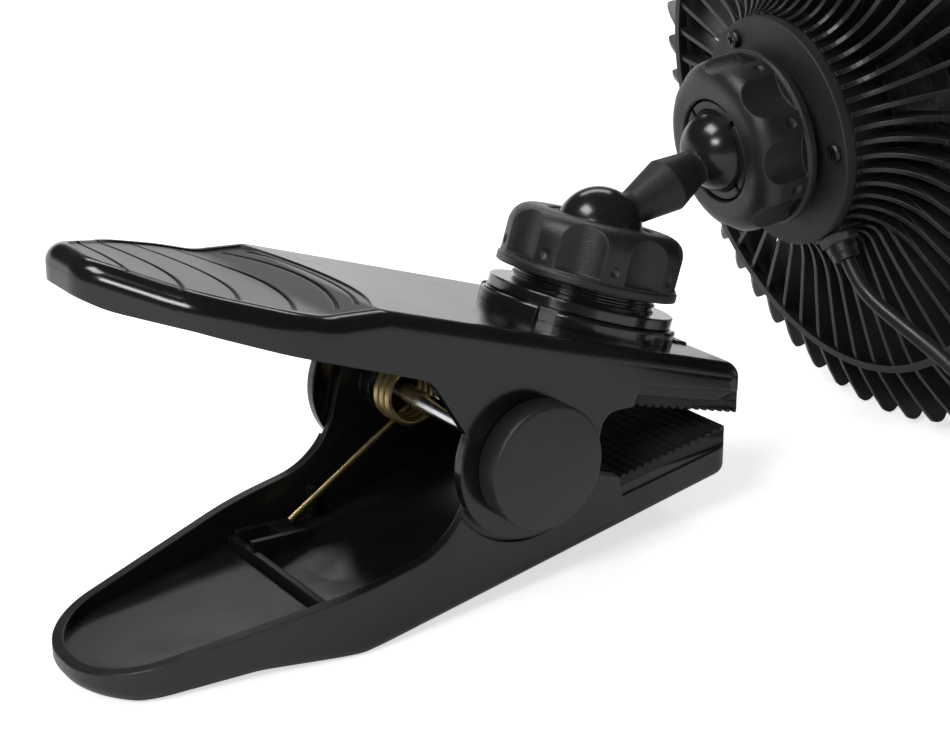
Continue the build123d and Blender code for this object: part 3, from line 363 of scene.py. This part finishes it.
def plastic(name, colour, rough, grain=0.0004, grain_depth=0.3, wave_depth=0.2, bump=0.2, edge=0.0005,
            edge_highlight=0.03, edge_rough=0.0, smudge=0.08, scratches=0.4, dust=0.5, coat=0.0, specular=0.5,
            masked_finish=None):
    """A moulded plastic, with a painted highlight along its edges, lighter by edge_highlight.
    masked_finish(tree) gives a mask, with the roughness and relief share inside it.
    """
    made, tree, shader = new_material(name)
    skin = use_group(tree, "skin", Grain_Size=grain, Grain_Depth=grain_depth, Wave_Depth=wave_depth)
    use = use_group(tree, "handling", Scratches=scratches, Dust=dust)
    rim = use_group(tree, "edge", Radius=edge)
    # painted highlight: the edge mask lightens the colour, standing in for light caught on the rounded edges
    painted_highlight_colour = (*[c + edge_highlight for c in colour], 1.0)
    base = blend_colour(tree, skin["Shade"], *shade_range(colour, SHADE_CHANGE))
    base = blend_colour(tree, maths(tree, "MULTIPLY", rim["Edge"], RIM_HIGHLIGHT_SHARE), base, painted_highlight_colour)
    base = blend_colour(tree, maths(tree, "MULTIPLY", use["Scratch"], SCRATCH_SHARE), base, SCRATCH_COLOUR)
    base = blend_colour(tree, use["Speck"], base, DUST_COLOUR)
    roughness = maths(tree, "MULTIPLY_ADD", use["Smudge"], smudge, rough)
    roughness = maths(tree, "ADD", roughness, maths(tree, "MULTIPLY", skin["Grain"], GRAIN_ROUGH))
    height = skin["Height"]
    if masked_finish:
        mask, other_rough, other_height = masked_finish(tree)
        roughness = blend_value(tree, mask, roughness, other_rough)
        height = blend_value(tree, mask, height, maths(tree, "MULTIPLY", height, other_height))
    roughness = maths(tree, "ADD", roughness, maths(tree, "MULTIPLY", use["Scratch"], SCRATCH_ROUGH))
    roughness = maths(tree, "ADD", roughness, maths(tree, "MULTIPLY", rim["Edge"], edge_rough), clamp=True)
    height = maths(tree, "SUBTRACT", height, maths(tree, "MULTIPLY", use["Scratch"], SCRATCH_DEPTH))
    relief = node(tree, "ShaderNodeBump", {"Height": height, "Strength": bump, "Distance": PLASTIC_RELIEF,
                                           "Normal": rim["Normal"]})
    tree.links.new(base, shader.inputs["Base Color"])
    tree.links.new(roughness, shader.inputs["Roughness"])
    tree.links.new(relief.outputs[0], shader.inputs["Normal"])
    shader.inputs["Specular IOR Level"].default_value = specular
    shader.inputs["Coat Weight"].default_value = coat
    shader.inputs["Coat Roughness"].default_value = COAT_ROUGH
    return made


def metal(name, colour, other, rough, brushed=0.0, grain=0.0003, tarnish=0.3, edge=0.0002, bump=0.12):
    """A metal whose colour drifts between two, with a drawn or cast grain."""
    made, tree, shader = new_material(name)
    place = object_place(tree)
    rim = use_group(tree, "edge", Radius=edge)
    use = use_group(tree, "handling", Smudge_Size=METAL_SMUDGE_SIZE)
    drift = spread(tree, noise(tree, place, TARNISH_SCALE, 3.0, 0.6, 0.6), *TARNISH_EDGES)
    base = blend_colour(tree, maths(tree, "MULTIPLY", drift, tarnish), (*colour, 1.0), (*other, 1.0))
    pulled = node(tree, "ShaderNodeMapping", {"Vector": place, "Scale": (1.0, 1.0 + brushed, 1.0)})
    height = noise(tree, pulled.outputs[0], 1.0 / grain, 2.0)
    roughness = maths(tree, "MULTIPLY_ADD", use["Smudge"], METAL_SMUDGE, rough)
    roughness = maths(tree, "ADD", roughness, maths(tree, "MULTIPLY", height, METAL_GRAIN_ROUGH))
    relief = node(tree, "ShaderNodeBump", {"Height": height, "Strength": bump, "Distance": METAL_RELIEF,
                                           "Normal": rim["Normal"]})
    tree.links.new(base, shader.inputs["Base Color"])
    tree.links.new(roughness, shader.inputs["Roughness"])
    tree.links.new(relief.outputs[0], shader.inputs["Normal"])
    shader.inputs["Metallic"].default_value = 1.0
    return made


def thumb_panel_finish(tree):
    """The satin thumb panel set into the upper handle's glossy shell."""
    moved = node(tree, "ShaderNodeVectorMath", {0: object_place(tree), 1: tuple(PIVOT)}, operation="SUBTRACT")
    level = node(tree, "ShaderNodeVectorRotate", {"Vector": moved.outputs[0], "Axis": (0.0, 1.0, 0.0),
                                                  "Angle": radians(-CLAMP_LEAN)}, rotation_type="AXIS_ANGLE")
    parts = node(tree, "ShaderNodeSeparateXYZ", {"Vector": level.outputs[0]}).outputs
    back = maths(tree, "SUBTRACT", maths(tree, "MULTIPLY", parts["X"], -1.0), PANEL_BACK)
    beyond = maths(tree, "DIVIDE", maths(tree, "MAXIMUM", back, 0.0), PANEL_END)
    across = maths(tree, "ABSOLUTE", maths(tree, "DIVIDE", parts["Y"], PANEL_HALF))
    reach = maths(tree, "ADD", maths(tree, "POWER", beyond, 2.0), maths(tree, "POWER", across, 2.0))
    inside = maths(tree, "LESS_THAN", reach, 1.0)
    flat = node(tree, "ShaderNodeCombineXYZ", {"X": parts["X"], "Y": parts["Y"]}).outputs[0]
    from_arc = node(tree, "ShaderNodeVectorMath", {0: flat, 1: (-PANEL_FRONT - PANEL_ARC, 0.0, 0.0)},
                    operation="DISTANCE").outputs["Value"]
    ends = maths(tree, "LESS_THAN", from_arc, PANEL_ARC)
    above = maths(tree, "GREATER_THAN", parts["Z"], PANEL_ABOVE)
    return maths(tree, "MULTIPLY", maths(tree, "MULTIPLY", inside, ends), above), *PANEL_LOOK


def ball_finish(tree):
    """The link's two polished balls, beside its tapered middle."""
    place = object_place(tree)
    near = []
    for centre in (BALL_1, BALL_2):
        away = node(tree, "ShaderNodeVectorMath", {0: place, 1: tuple(centre)}, operation="DISTANCE")
        near.append(maths(tree, "LESS_THAN", away.outputs["Value"], BALL_REACH))
    return maths(tree, "MAXIMUM", *near), *BALL_LOOK


BLACK = (0.006, 0.006, 0.0064)
GLOSS = dict(grain=0.0006, grain_depth=0.1, wave_depth=0.35, bump=0.12, edge=0.0008, edge_highlight=0.004,
             smudge=0.05, scratches=0.25, dust=0.35)
MATERIALS = {
    "gloss_shell": plastic("gloss_shell", BLACK, 0.1, coat=0.5, **GLOSS),
    "thumb_shell": plastic("thumb_shell", BLACK, 0.1, masked_finish=thumb_panel_finish, **GLOSS),
    "satin_shell": plastic("satin_shell", (0.0075, 0.0075, 0.0078), 0.27, grain=0.0005, bump=0.22,
                           edge=0.0007, edge_highlight=0.012, smudge=0.12, scratches=0.7, dust=0.8),
    "cap_skin": plastic("cap_skin", (0.0125, 0.0125, 0.013), 0.4, grain_depth=0.5, bump=0.25,
                        edge_highlight=0.02, edge_rough=-0.12, smudge=0.1),
    "knob_skin": plastic("knob_skin", (0.011, 0.011, 0.0114), 0.3, grain=0.00042, grain_depth=1.0,
                         bump=0.55, edge=0.0007, edge_rough=-0.1, smudge=0.1, scratches=0.3, dust=0.4),
    "plate_skin": plastic("plate_skin", (0.016, 0.016, 0.0164), 0.5, grain=0.00035, grain_depth=1.0,
                          bump=0.6, edge_highlight=0.06, edge_rough=-0.25, dust=0.4),
    "link_skin": plastic("link_skin", (0.0095, 0.0095, 0.01), 0.4, grain=0.0005, grain_depth=0.6, bump=0.35,
                         edge=0.0006, dust=0.3, masked_finish=ball_finish),
    "grille_skin": plastic("grille_skin", (0.0095, 0.0095, 0.0098), 0.3, grain=0.0006, grain_depth=0.4,
                           bump=0.3, edge=0.0004, edge_highlight=0.05, edge_rough=-0.05, smudge=0.1, dust=0.4),
    "blade_skin": plastic("blade_skin", (0.009, 0.009, 0.0094), 0.22, grain=0.0007, grain_depth=0.2,
                          bump=0.15, edge=0.0006, edge_highlight=0.02, smudge=0.1, dust=0.6),
    "pad_rubber": plastic("pad_rubber", (0.012, 0.012, 0.012), 0.55, grain=0.0003, grain_depth=1.0, bump=0.4,
                          edge=0.0003, edge_highlight=0.02, smudge=0.1, scratches=0.1, dust=0.7, specular=0.35),
    "cord_jacket": plastic("cord_jacket", (0.0135, 0.0135, 0.0145), 0.3, grain=0.0008, grain_depth=0.2,
                           edge=0.0003, edge_highlight=0.0, smudge=0.12, scratches=0.3, dust=0.3),
    "plug_skin": plastic("plug_skin", (0.015, 0.015, 0.0152), 0.3, grain_depth=0.5, bump=0.3,
                         edge_highlight=0.02, smudge=0.1),
    "carbon_block": plastic("carbon_block", (0.03, 0.03, 0.03), 0.6, grain=0.0002, grain_depth=1.0, bump=0.6,
                            edge=0.0002),
    "yellow_zinc": metal("yellow_zinc", (0.66, 0.53, 0.25), (0.60, 0.42, 0.22), 0.24, tarnish=0.5, bump=0.03),
    "bright_steel": metal("bright_steel", (0.80, 0.80, 0.82), (0.66, 0.66, 0.68), 0.1, tarnish=0.4),
    "black_screw": metal("black_screw", (0.04, 0.038, 0.036), (0.11, 0.1, 0.095), 0.28, tarnish=0.6),
    "zinc_sheet": metal("zinc_sheet", (0.56, 0.57, 0.58), (0.46, 0.46, 0.46), 0.32, brushed=4.0, tarnish=0.6),
    "ferrite": metal("ferrite", (0.1, 0.1, 0.1), (0.14, 0.13, 0.13), 0.55, grain=0.0002, tarnish=0.8),
    "enamelled_copper": metal("enamelled_copper", (0.64, 0.27, 0.12), (0.5, 0.19, 0.09), 0.22, brushed=9.0),
    "sintered_bronze": metal("sintered_bronze", (0.52, 0.36, 0.17), (0.42, 0.28, 0.13), 0.42, grain=0.0002),
    "nickel": metal("nickel", (0.70, 0.67, 0.62), (0.6, 0.57, 0.52), 0.16, tarnish=0.5),
}

# each solid's material
FINISHES = {
    "lower_jaw": "satin_shell", "upper_jaw": "thumb_shell", "lower_pad_carrier": "satin_shell",
    "upper_pad_carrier": "satin_shell", "lower_grip_pad": "pad_rubber", "upper_grip_pad": "pad_rubber",
    "pivot_axle": "bright_steel", "pivot_cap_near": "cap_skin", "pivot_cap_far": "cap_skin",
    "clamp_spring": "yellow_zinc", "mount_foot": "gloss_shell", "arm_socket": "gloss_shell",
    "clamp_collet": "knob_skin", "clamp_lock_nut": "knob_skin", "ball_link": "link_skin",
    "head_collet": "knob_skin", "head_lock_nut": "knob_skin", "head_plate": "plate_skin",
    "plate_screws": "black_screw", "motor_housing": "grille_skin", "housing_cover": "grille_skin",
    "rear_grille": "grille_skin", "front_grille": "grille_skin", "switch_rocker": "plug_skin",
    "motor_can": "zinc_sheet", "motor_end_bell": "plug_skin", "shaft_bushings": "sintered_bronze",
    "field_magnets": "ferrite", "brushes": "carbon_block", "armature_core": "zinc_sheet",
    "armature_windings": "enamelled_copper", "commutator": "enamelled_copper", "motor_shaft": "bright_steel",
    "fan_blades": "blade_skin", "blade_nut": "blade_skin", "strain_relief": "knob_skin",
    "cord_run": "cord_jacket", "cord_coil": "cord_jacket", "cord_tail": "cord_jacket",
    "plug_boot": "cord_jacket", "plug_body": "plug_skin", "plug_side_contacts": "nickel",
    "plug_ring": "nickel", "plug_tip": "nickel"}


def finish_solids():
    """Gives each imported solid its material."""
    for name, solid in NODES.items():
        solid.data.materials.clear()
        solid.data.materials.append(MATERIALS[FINISHES[name]])


# ================================================================ cord and spring
def put_in_scene(name, data):
    """An object that shows a mesh, a curve, a lamp or a camera."""
    made = bpy.data.objects.new(name, data)
    bpy.context.scene.collection.objects.link(made)
    return made


def curve_piece(name, points, radius, material):
    """A smooth round line: a NURBS curve with the points as its controls."""
    line = bpy.data.curves.new(name, "CURVE")
    line.dimensions = "3D"
    spline = line.splines.new("NURBS")
    spline.points.add(len(points) - 1)
    for control, place in zip(spline.points, points):
        control.co = (*place, 1.0)
    spline.order_u = LINE_ORDER
    spline.use_endpoint_u = True
    spline.resolution_u = LINE_STEPS
    line.bevel_depth = radius
    line.bevel_resolution = LINE_ROUND
    line.use_fill_caps = True
    line.materials.append(material)
    return put_in_scene(name, line)


def coil_points():
    """Two turns in, a climb, two turns out, and so on up the coil."""
    cycle = COIL_WIND + COIL_CLIMB
    first = COIL_STEP * 2
    last = COIL_LAYERS * COIL_WIND + (COIL_LAYERS - 1) * COIL_CLIMB - COIL_STEP * 2
    points = []
    for k in range(int((last - first) / COIL_STEP) + 1):
        turned = first + k * COIL_STEP
        layer = int(turned // cycle)
        within = turned - layer * cycle
        share = min(within / COIL_WIND, 1.0)
        climb = max(within - COIL_WIND, 0.0) / COIL_CLIMB
        inward = share if layer % 2 == 0 else 1.0 - share
        reach = (COIL_OUTER + (COIL_INNER - COIL_OUTER) * inward) / cos(radians(COIL_STEP / 2))
        angle = radians(COIL_START + turned)
        points.append((COIL_MIDDLE[0] + reach * cos(angle), COIL_MIDDLE[1] + reach * sin(angle),
                       COIL_FLOOR + (layer + climb) * COIL_PITCH))
    return points


def make_cord():
    """The whole cord as one line, from the gland to the plug."""
    points = CORD_RUN + coil_points() + CORD_TAIL
    cord = curve_piece("cord", points, CORD_DIAMETER / 2, MATERIALS["cord_jacket"])
    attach(cord, "fan_head")
    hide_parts("cord_run", "cord_coil", "cord_tail")


def on_clamp(x, y, z):
    """A point given on the clamp, as a place in the frame."""
    lean = radians(CLAMP_LEAN)
    return PIVOT + Vector((x * cos(lean) + z * sin(lean), y, -x * sin(lean) + z * cos(lean)))


def make_spring():
    """One wire: the lower leg, the turns round the axle and the upper leg, whose ends lie on their jaws."""
    low, high = SPRING_LOWER_END, SPRING_UPPER_END
    heading = atan2(-low[1], -low[0]) - asin(SPRING_R / hypot(*low))
    leaving = atan2(high[1], high[0]) + asin(SPRING_R / hypot(*high)) + 2 * pi * SPRING_TURNS
    count = round((leaving - heading) / radians(SPRING_STEP))
    step = (leaving - heading) / count
    points = [on_clamp(low[0], SPRING_Y[0], low[1])]
    reach = SPRING_R / cos(step / 2)
    for k in range(count):
        angle = heading + step * (k + 0.5) - pi / 2
        y = SPRING_Y[0] + (SPRING_Y[1] - SPRING_Y[0]) * (k + 0.5) / count
        points.append(on_clamp(reach * cos(angle), y, reach * sin(angle)))
    points.append(on_clamp(high[0], SPRING_Y[1], high[1]))
    wire = curve_piece("spring_wire", points, SPRING_WIRE / 2, MATERIALS["yellow_zinc"])
    bpy.context.view_layer.update()
    mesh = bpy.data.meshes.new_from_object(wire.evaluated_get(bpy.context.evaluated_depsgraph_get()))
    bpy.data.objects.remove(wire)
    spring = put_in_scene("torsion_spring", mesh)
    mesh.shade_smooth()
    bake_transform(spring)
    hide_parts("clamp_spring")


# ================================================================ small mouldings
def mesh_piece(name, points, faces, material, body):
    """A closed mesh that rides on a body."""
    mesh = bpy.data.meshes.new(name)
    mesh.from_pydata([tuple(p) for p in points], [], faces)
    shape = bmesh.new()
    shape.from_mesh(mesh)
    bmesh.ops.recalc_face_normals(shape, faces=shape.faces)
    shape.to_mesh(mesh)
    shape.free()
    mesh.materials.append(MATERIALS[material])
    made = put_in_scene(name, mesh)
    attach(made, body)
    return made


def prism(outline, offset, start):
    """A plate: an outline shifted back and forth by the offset. Its points are numbered from start."""
    count = len(outline)
    points = [p - offset for p in outline] + [p + offset for p in outline]
    faces = [tuple(start + i for i in range(count)), tuple(start + count + i for i in reversed(range(count)))]
    for i in range(count):
        j = (i + 1) % count
        faces.append((start + i, start + j, start + count + j, start + count + i))
    return points, faces


def make_fins():
    """The housing's ribs sweep out in a curve and run into the grille's vanes."""
    down = (FAN_AXIS * FAN_AXIS.z - Vector((0.0, 0.0, 1.0))).normalized()
    side = FAN_AXIS.cross(down).normalized()
    curve = []
    for k in range(FIN_STEPS + 1):
        turn = pi / 2 * k / FIN_STEPS
        curve.append((FIN_START[0] + (FIN_END[0] - FIN_START[0]) * (1 - cos(turn)),
                      FIN_START[1] + (FIN_END[1] - FIN_START[1]) * sin(turn)))
    rows = [(FIN_INNER, FIN_START[1])] + curve + [(FIN_END[0], FIN_BACK), (FIN_INNER, FIN_BACK)]
    points, faces = [], []
    for i in range(VANES):
        angle = 360.0 * (i + 0.5) / VANES
        if abs((angle - GLAND_ANGLE + 180) % 360 - 180) <= FIN_GAP:
            continue
        out = down * cos(radians(angle)) + side * sin(radians(angle))
        across = FAN_AXIS.cross(out) * (FIN_THICK / 2)
        outline = [BALL_2 + out * r + FAN_AXIS * s for r, s in rows]
        more, sides = prism(outline, across, len(points))
        points += more
        faces += sides
    mesh_piece("housing_fins", points, faces, "grille_skin", "fan_head")


def make_tip_ridges():
    """Plain raised bars across the top of the upper jaw's tip."""
    half, reach = TIP_RIDGE_HALF
    foot = half * TIP_RIDGE_FLARE
    rows = [(-foot, -TIP_RIDGE_RISE), (foot, -TIP_RIDGE_RISE),
            (half, TIP_RIDGE_RISE), (-half, TIP_RIDGE_RISE)]
    points, faces = [], []
    for x in TIP_RIDGES:
        top = TIP_TOP[1] + (x - TIP_TOP[0]) * TIP_SLOPE
        outline = [on_clamp(x + dx, 0.0, top + dx * TIP_SLOPE + dz) for dx, dz in rows]
        more, sides = prism(outline, Vector((0.0, reach, 0.0)), len(points))
        points += more
        faces += sides
    mesh_piece("jaw_tip_ridges", points, faces, "gloss_shell", "upper_clamp")


def make_cap(name, side):
    """A thick domed disc over an end of the axle. side is -1 for the near one and 1 for the far one."""
    edge = CAP_WALL + CAP_ROUND
    rings = [(CAP_R - CAP_FOOT, 0.0), (CAP_R, CAP_FOOT), (CAP_R, CAP_WALL)]
    for k in range(1, CAP_ROUND_STEPS + 1):
        turn = pi / 2 * k / CAP_ROUND_STEPS
        rings.append((CAP_R - CAP_ROUND * (1 - cos(turn)), CAP_WALL + CAP_ROUND * sin(turn)))
    for k in range(1, CAP_DOME_STEPS):
        share = k / CAP_DOME_STEPS
        rings.append(((CAP_R - CAP_ROUND) * (1 - share), edge + CAP_DOME * (1 - (1 - share) ** 2)))
    points, faces = [], []
    for r, y in rings:
        for k in range(CAP_SEGMENTS):
            turn = 2 * pi * k / CAP_SEGMENTS
            points.append(on_clamp(r * cos(turn), side * (CAP_SEAT + y), r * sin(turn)))
    for j in range(len(rings) - 1):
        for k in range(CAP_SEGMENTS):
            n = (k + 1) % CAP_SEGMENTS
            a, b = j * CAP_SEGMENTS, (j + 1) * CAP_SEGMENTS
            faces.append((a + k, a + n, b + n, b + k))
    points += [on_clamp(0.0, side * CAP_SEAT, 0.0), on_clamp(0.0, side * (CAP_SEAT + edge + CAP_DOME), 0.0)]
    last = len(points) - 1
    inner = (len(rings) - 1) * CAP_SEGMENTS
    for k in range(CAP_SEGMENTS):
        n = (k + 1) % CAP_SEGMENTS
        faces.append((last - 1, n, k))
        faces.append((last, inner + k, inner + n))
    cap = mesh_piece(name + "_dome", points, faces, "cap_skin", "clamp_base")
    cap.data.shade_smooth()
    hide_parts(name)


def pad_layer(name, rows, corner, material, body):
    """A bar along the jaw, as wide as the jaw's rounded tip lets it be. rows are x and z on the clamp."""
    fine = []
    for i, (x, z) in enumerate(rows):
        to_x, to_z = rows[(i + 1) % len(rows)]
        count = max(1, int(hypot(to_x - x, to_z - z) / PAD_STEP))
        fine += [(x + (to_x - x) * k / count, z + (to_z - z) * k / count) for k in range(count)]
    middle, across, radius = corner
    points = []
    for side in (-1, 1):
        for x, z in fine:
            past = min(max(x - middle, 0.0), radius)
            points.append(on_clamp(x, side * min(PAD_HALF, across + (radius ** 2 - past ** 2) ** 0.5), z))
    count = len(fine)
    faces = [tuple(range(count)), tuple(reversed(range(count, 2 * count)))]
    faces += [(i, (i + 1) % count, count + (i + 1) % count, count + i) for i in range(count)]
    made = mesh_piece(name + "_bar", points, faces, material, body)
    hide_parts(name)


def make_pads():
    """Both jaws' pads: a carrier bar and a ridged grip face, rounded with the jaw's tip."""
    for which, (body, corners, corner) in PADS.items():
        seat_in, seat_out, face_out, face_in = corners
        mid_in = ((seat_in[0] + face_in[0]) / 2, (seat_in[1] + face_in[1]) / 2)
        mid_out = ((seat_out[0] + face_out[0]) / 2, (seat_out[1] + face_out[1]) / 2)
        rise = Vector((face_in[0] - seat_in[0], face_in[1] - seat_in[1])).normalized() * PAD_RIDGE_HEIGHT
        teeth = []
        for i in range(PAD_RIDGES):
            for step, lowered in PAD_RIDGE_STEPS:
                share = (i + step) / PAD_RIDGES
                teeth.append((face_in[0] + (face_out[0] - face_in[0]) * share - rise.x * lowered,
                              face_in[1] + (face_out[1] - face_in[1]) * share - rise.y * lowered))
        pad_layer(which + "_pad_carrier", [seat_in, seat_out, mid_out, mid_in], corner,
                  "satin_shell", body)
        pad_layer(which + "_grip_pad", [mid_in] + teeth + [mid_out], corner,
                  "pad_rubber", body)


# ================================================================ studio
def make_camera():
    """The photograph's view of the fan."""
    camera = put_in_scene("camera", bpy.data.cameras.new("camera"))
    turn, dip, roll = radians(CAMERA_AZIMUTH), radians(CAMERA_DIP), radians(CAMERA_ROLL)
    forward = Vector((cos(turn) * cos(dip), sin(turn) * cos(dip), -sin(dip)))
    level = Vector((sin(turn), -cos(turn), 0.0))
    upright = level.cross(forward)
    right = level * cos(roll) + upright * sin(roll)
    up = upright * cos(roll) - level * sin(roll)
    camera.matrix_world = Matrix((right, up, -forward)).transposed().to_4x4()
    camera.location = CAMERA_PLACE
    camera.data.lens = CAMERA_LENS
    camera.data.sensor_width = CAMERA_SENSOR
    camera.data.clip_start, camera.data.clip_end = CAMERA_CLIP
    bpy.context.scene.camera = camera


def make_floor():
    """A wide pale sheet under the fan, seen as near white, that still takes its shadow."""
    mesh = bpy.data.meshes.new("studio_floor")
    shape = bmesh.new()
    bmesh.ops.create_grid(shape, x_segments=2, y_segments=2, size=FLOOR_REACH)
    shape.to_mesh(mesh)
    shape.free()
    floor = put_in_scene("studio_floor", mesh)
    floor.location.z = -FLOOR_DROP
    made, tree, shader = new_material("pale_floor")
    shader.inputs["Base Color"].default_value = FLOOR_COLOUR
    shader.inputs["Roughness"].default_value = FLOOR_ROUGH
    shader.inputs["Specular IOR Level"].default_value = FLOOR_SPECULAR
    path = node(tree, "ShaderNodeLightPath").outputs
    seen = maths(tree, "MAXIMUM", path["Is Camera Ray"], path["Is Transmission Ray"])
    away = node(tree, "ShaderNodeVectorMath", {0: object_place(tree)}, operation="LENGTH").outputs["Value"]
    mirrored = maths(tree, "MULTIPLY", path["Is Glossy Ray"], spread(tree, away, *FLOOR_EDGES))
    lift = maths(tree, "ADD", maths(tree, "MULTIPLY", seen, FLOOR_SEEN),
                 maths(tree, "MULTIPLY", mirrored, FLOOR_MIRRORED))
    glow = node(tree, "ShaderNodeEmission", {"Color": WHITE, "Strength": lift})
    both = node(tree, "ShaderNodeAddShader", {0: shader.outputs[0], 1: glow.outputs[0]})
    tree.links.new(both.outputs[0], tree.nodes["Material Output"].inputs["Surface"])
    mesh.materials.append(made)


def make_lamp(name, place, target, size, power):
    """A rectangular lamp that the camera doesn't see."""
    data = bpy.data.lights.new(name, "AREA")
    data.shape = "RECTANGLE"
    data.size, data.size_y = size
    data.energy = power
    lamp = put_in_scene(name, data)
    lamp.location = place
    lamp.rotation_mode = "QUATERNION"
    lamp.rotation_quaternion = (Vector(target) - Vector(place)).to_track_quat("-Z", "Y")
    lamp.visible_camera = False


def make_surround():
    """White to the eye and grey as light. The fan mirrors it as a dim near wall and a bright far one."""
    world = bpy.data.worlds.new("studio")
    bpy.context.scene.world = world
    world.use_nodes = True
    tree = world.node_tree
    tree.nodes.clear()
    heading = node(tree, "ShaderNodeTexCoord").outputs["Generated"]
    rising = node(tree, "ShaderNodeSeparateXYZ", {"Vector": heading})
    height = spread(tree, rising.outputs["Z"], *HORIZON_EDGES)
    behind = node(tree, "ShaderNodeVectorMath", {0: heading, 1: FAR_WAY}, operation="DOT_PRODUCT")
    far_side = spread(tree, behind.outputs["Value"], *FAR_EDGES)
    path = node(tree, "ShaderNodeLightPath").outputs
    near_wall = blend_colour(tree, height, *NEAR_WALL)
    far_wall = blend_colour(tree, height, *FAR_WALL)
    mirrored = blend_colour(tree, far_side, near_wall, far_wall)
    colour = blend_colour(tree, path["Is Glossy Ray"], SURROUND, mirrored)
    seen = maths(tree, "MAXIMUM", path["Is Camera Ray"], path["Is Transmission Ray"])
    colour = blend_colour(tree, seen, colour, WHITE)
    sky = node(tree, "ShaderNodeBackground", {"Color": colour, "Strength": 1.0})
    output = node(tree, "ShaderNodeOutputWorld")
    tree.links.new(sky.outputs[0], output.inputs["Surface"])


make_camera()
finish_solids()
make_cord()
make_spring()
make_fins()
make_tip_ridges()
make_cap("pivot_cap_near", -1)
make_cap("pivot_cap_far", 1)
make_pads()
make_floor()
for lamp_name, lamp in LAMPS.items():
    make_lamp(lamp_name, *lamp)
make_surround()
bpy.context.scene.view_settings.view_transform = "Standard"
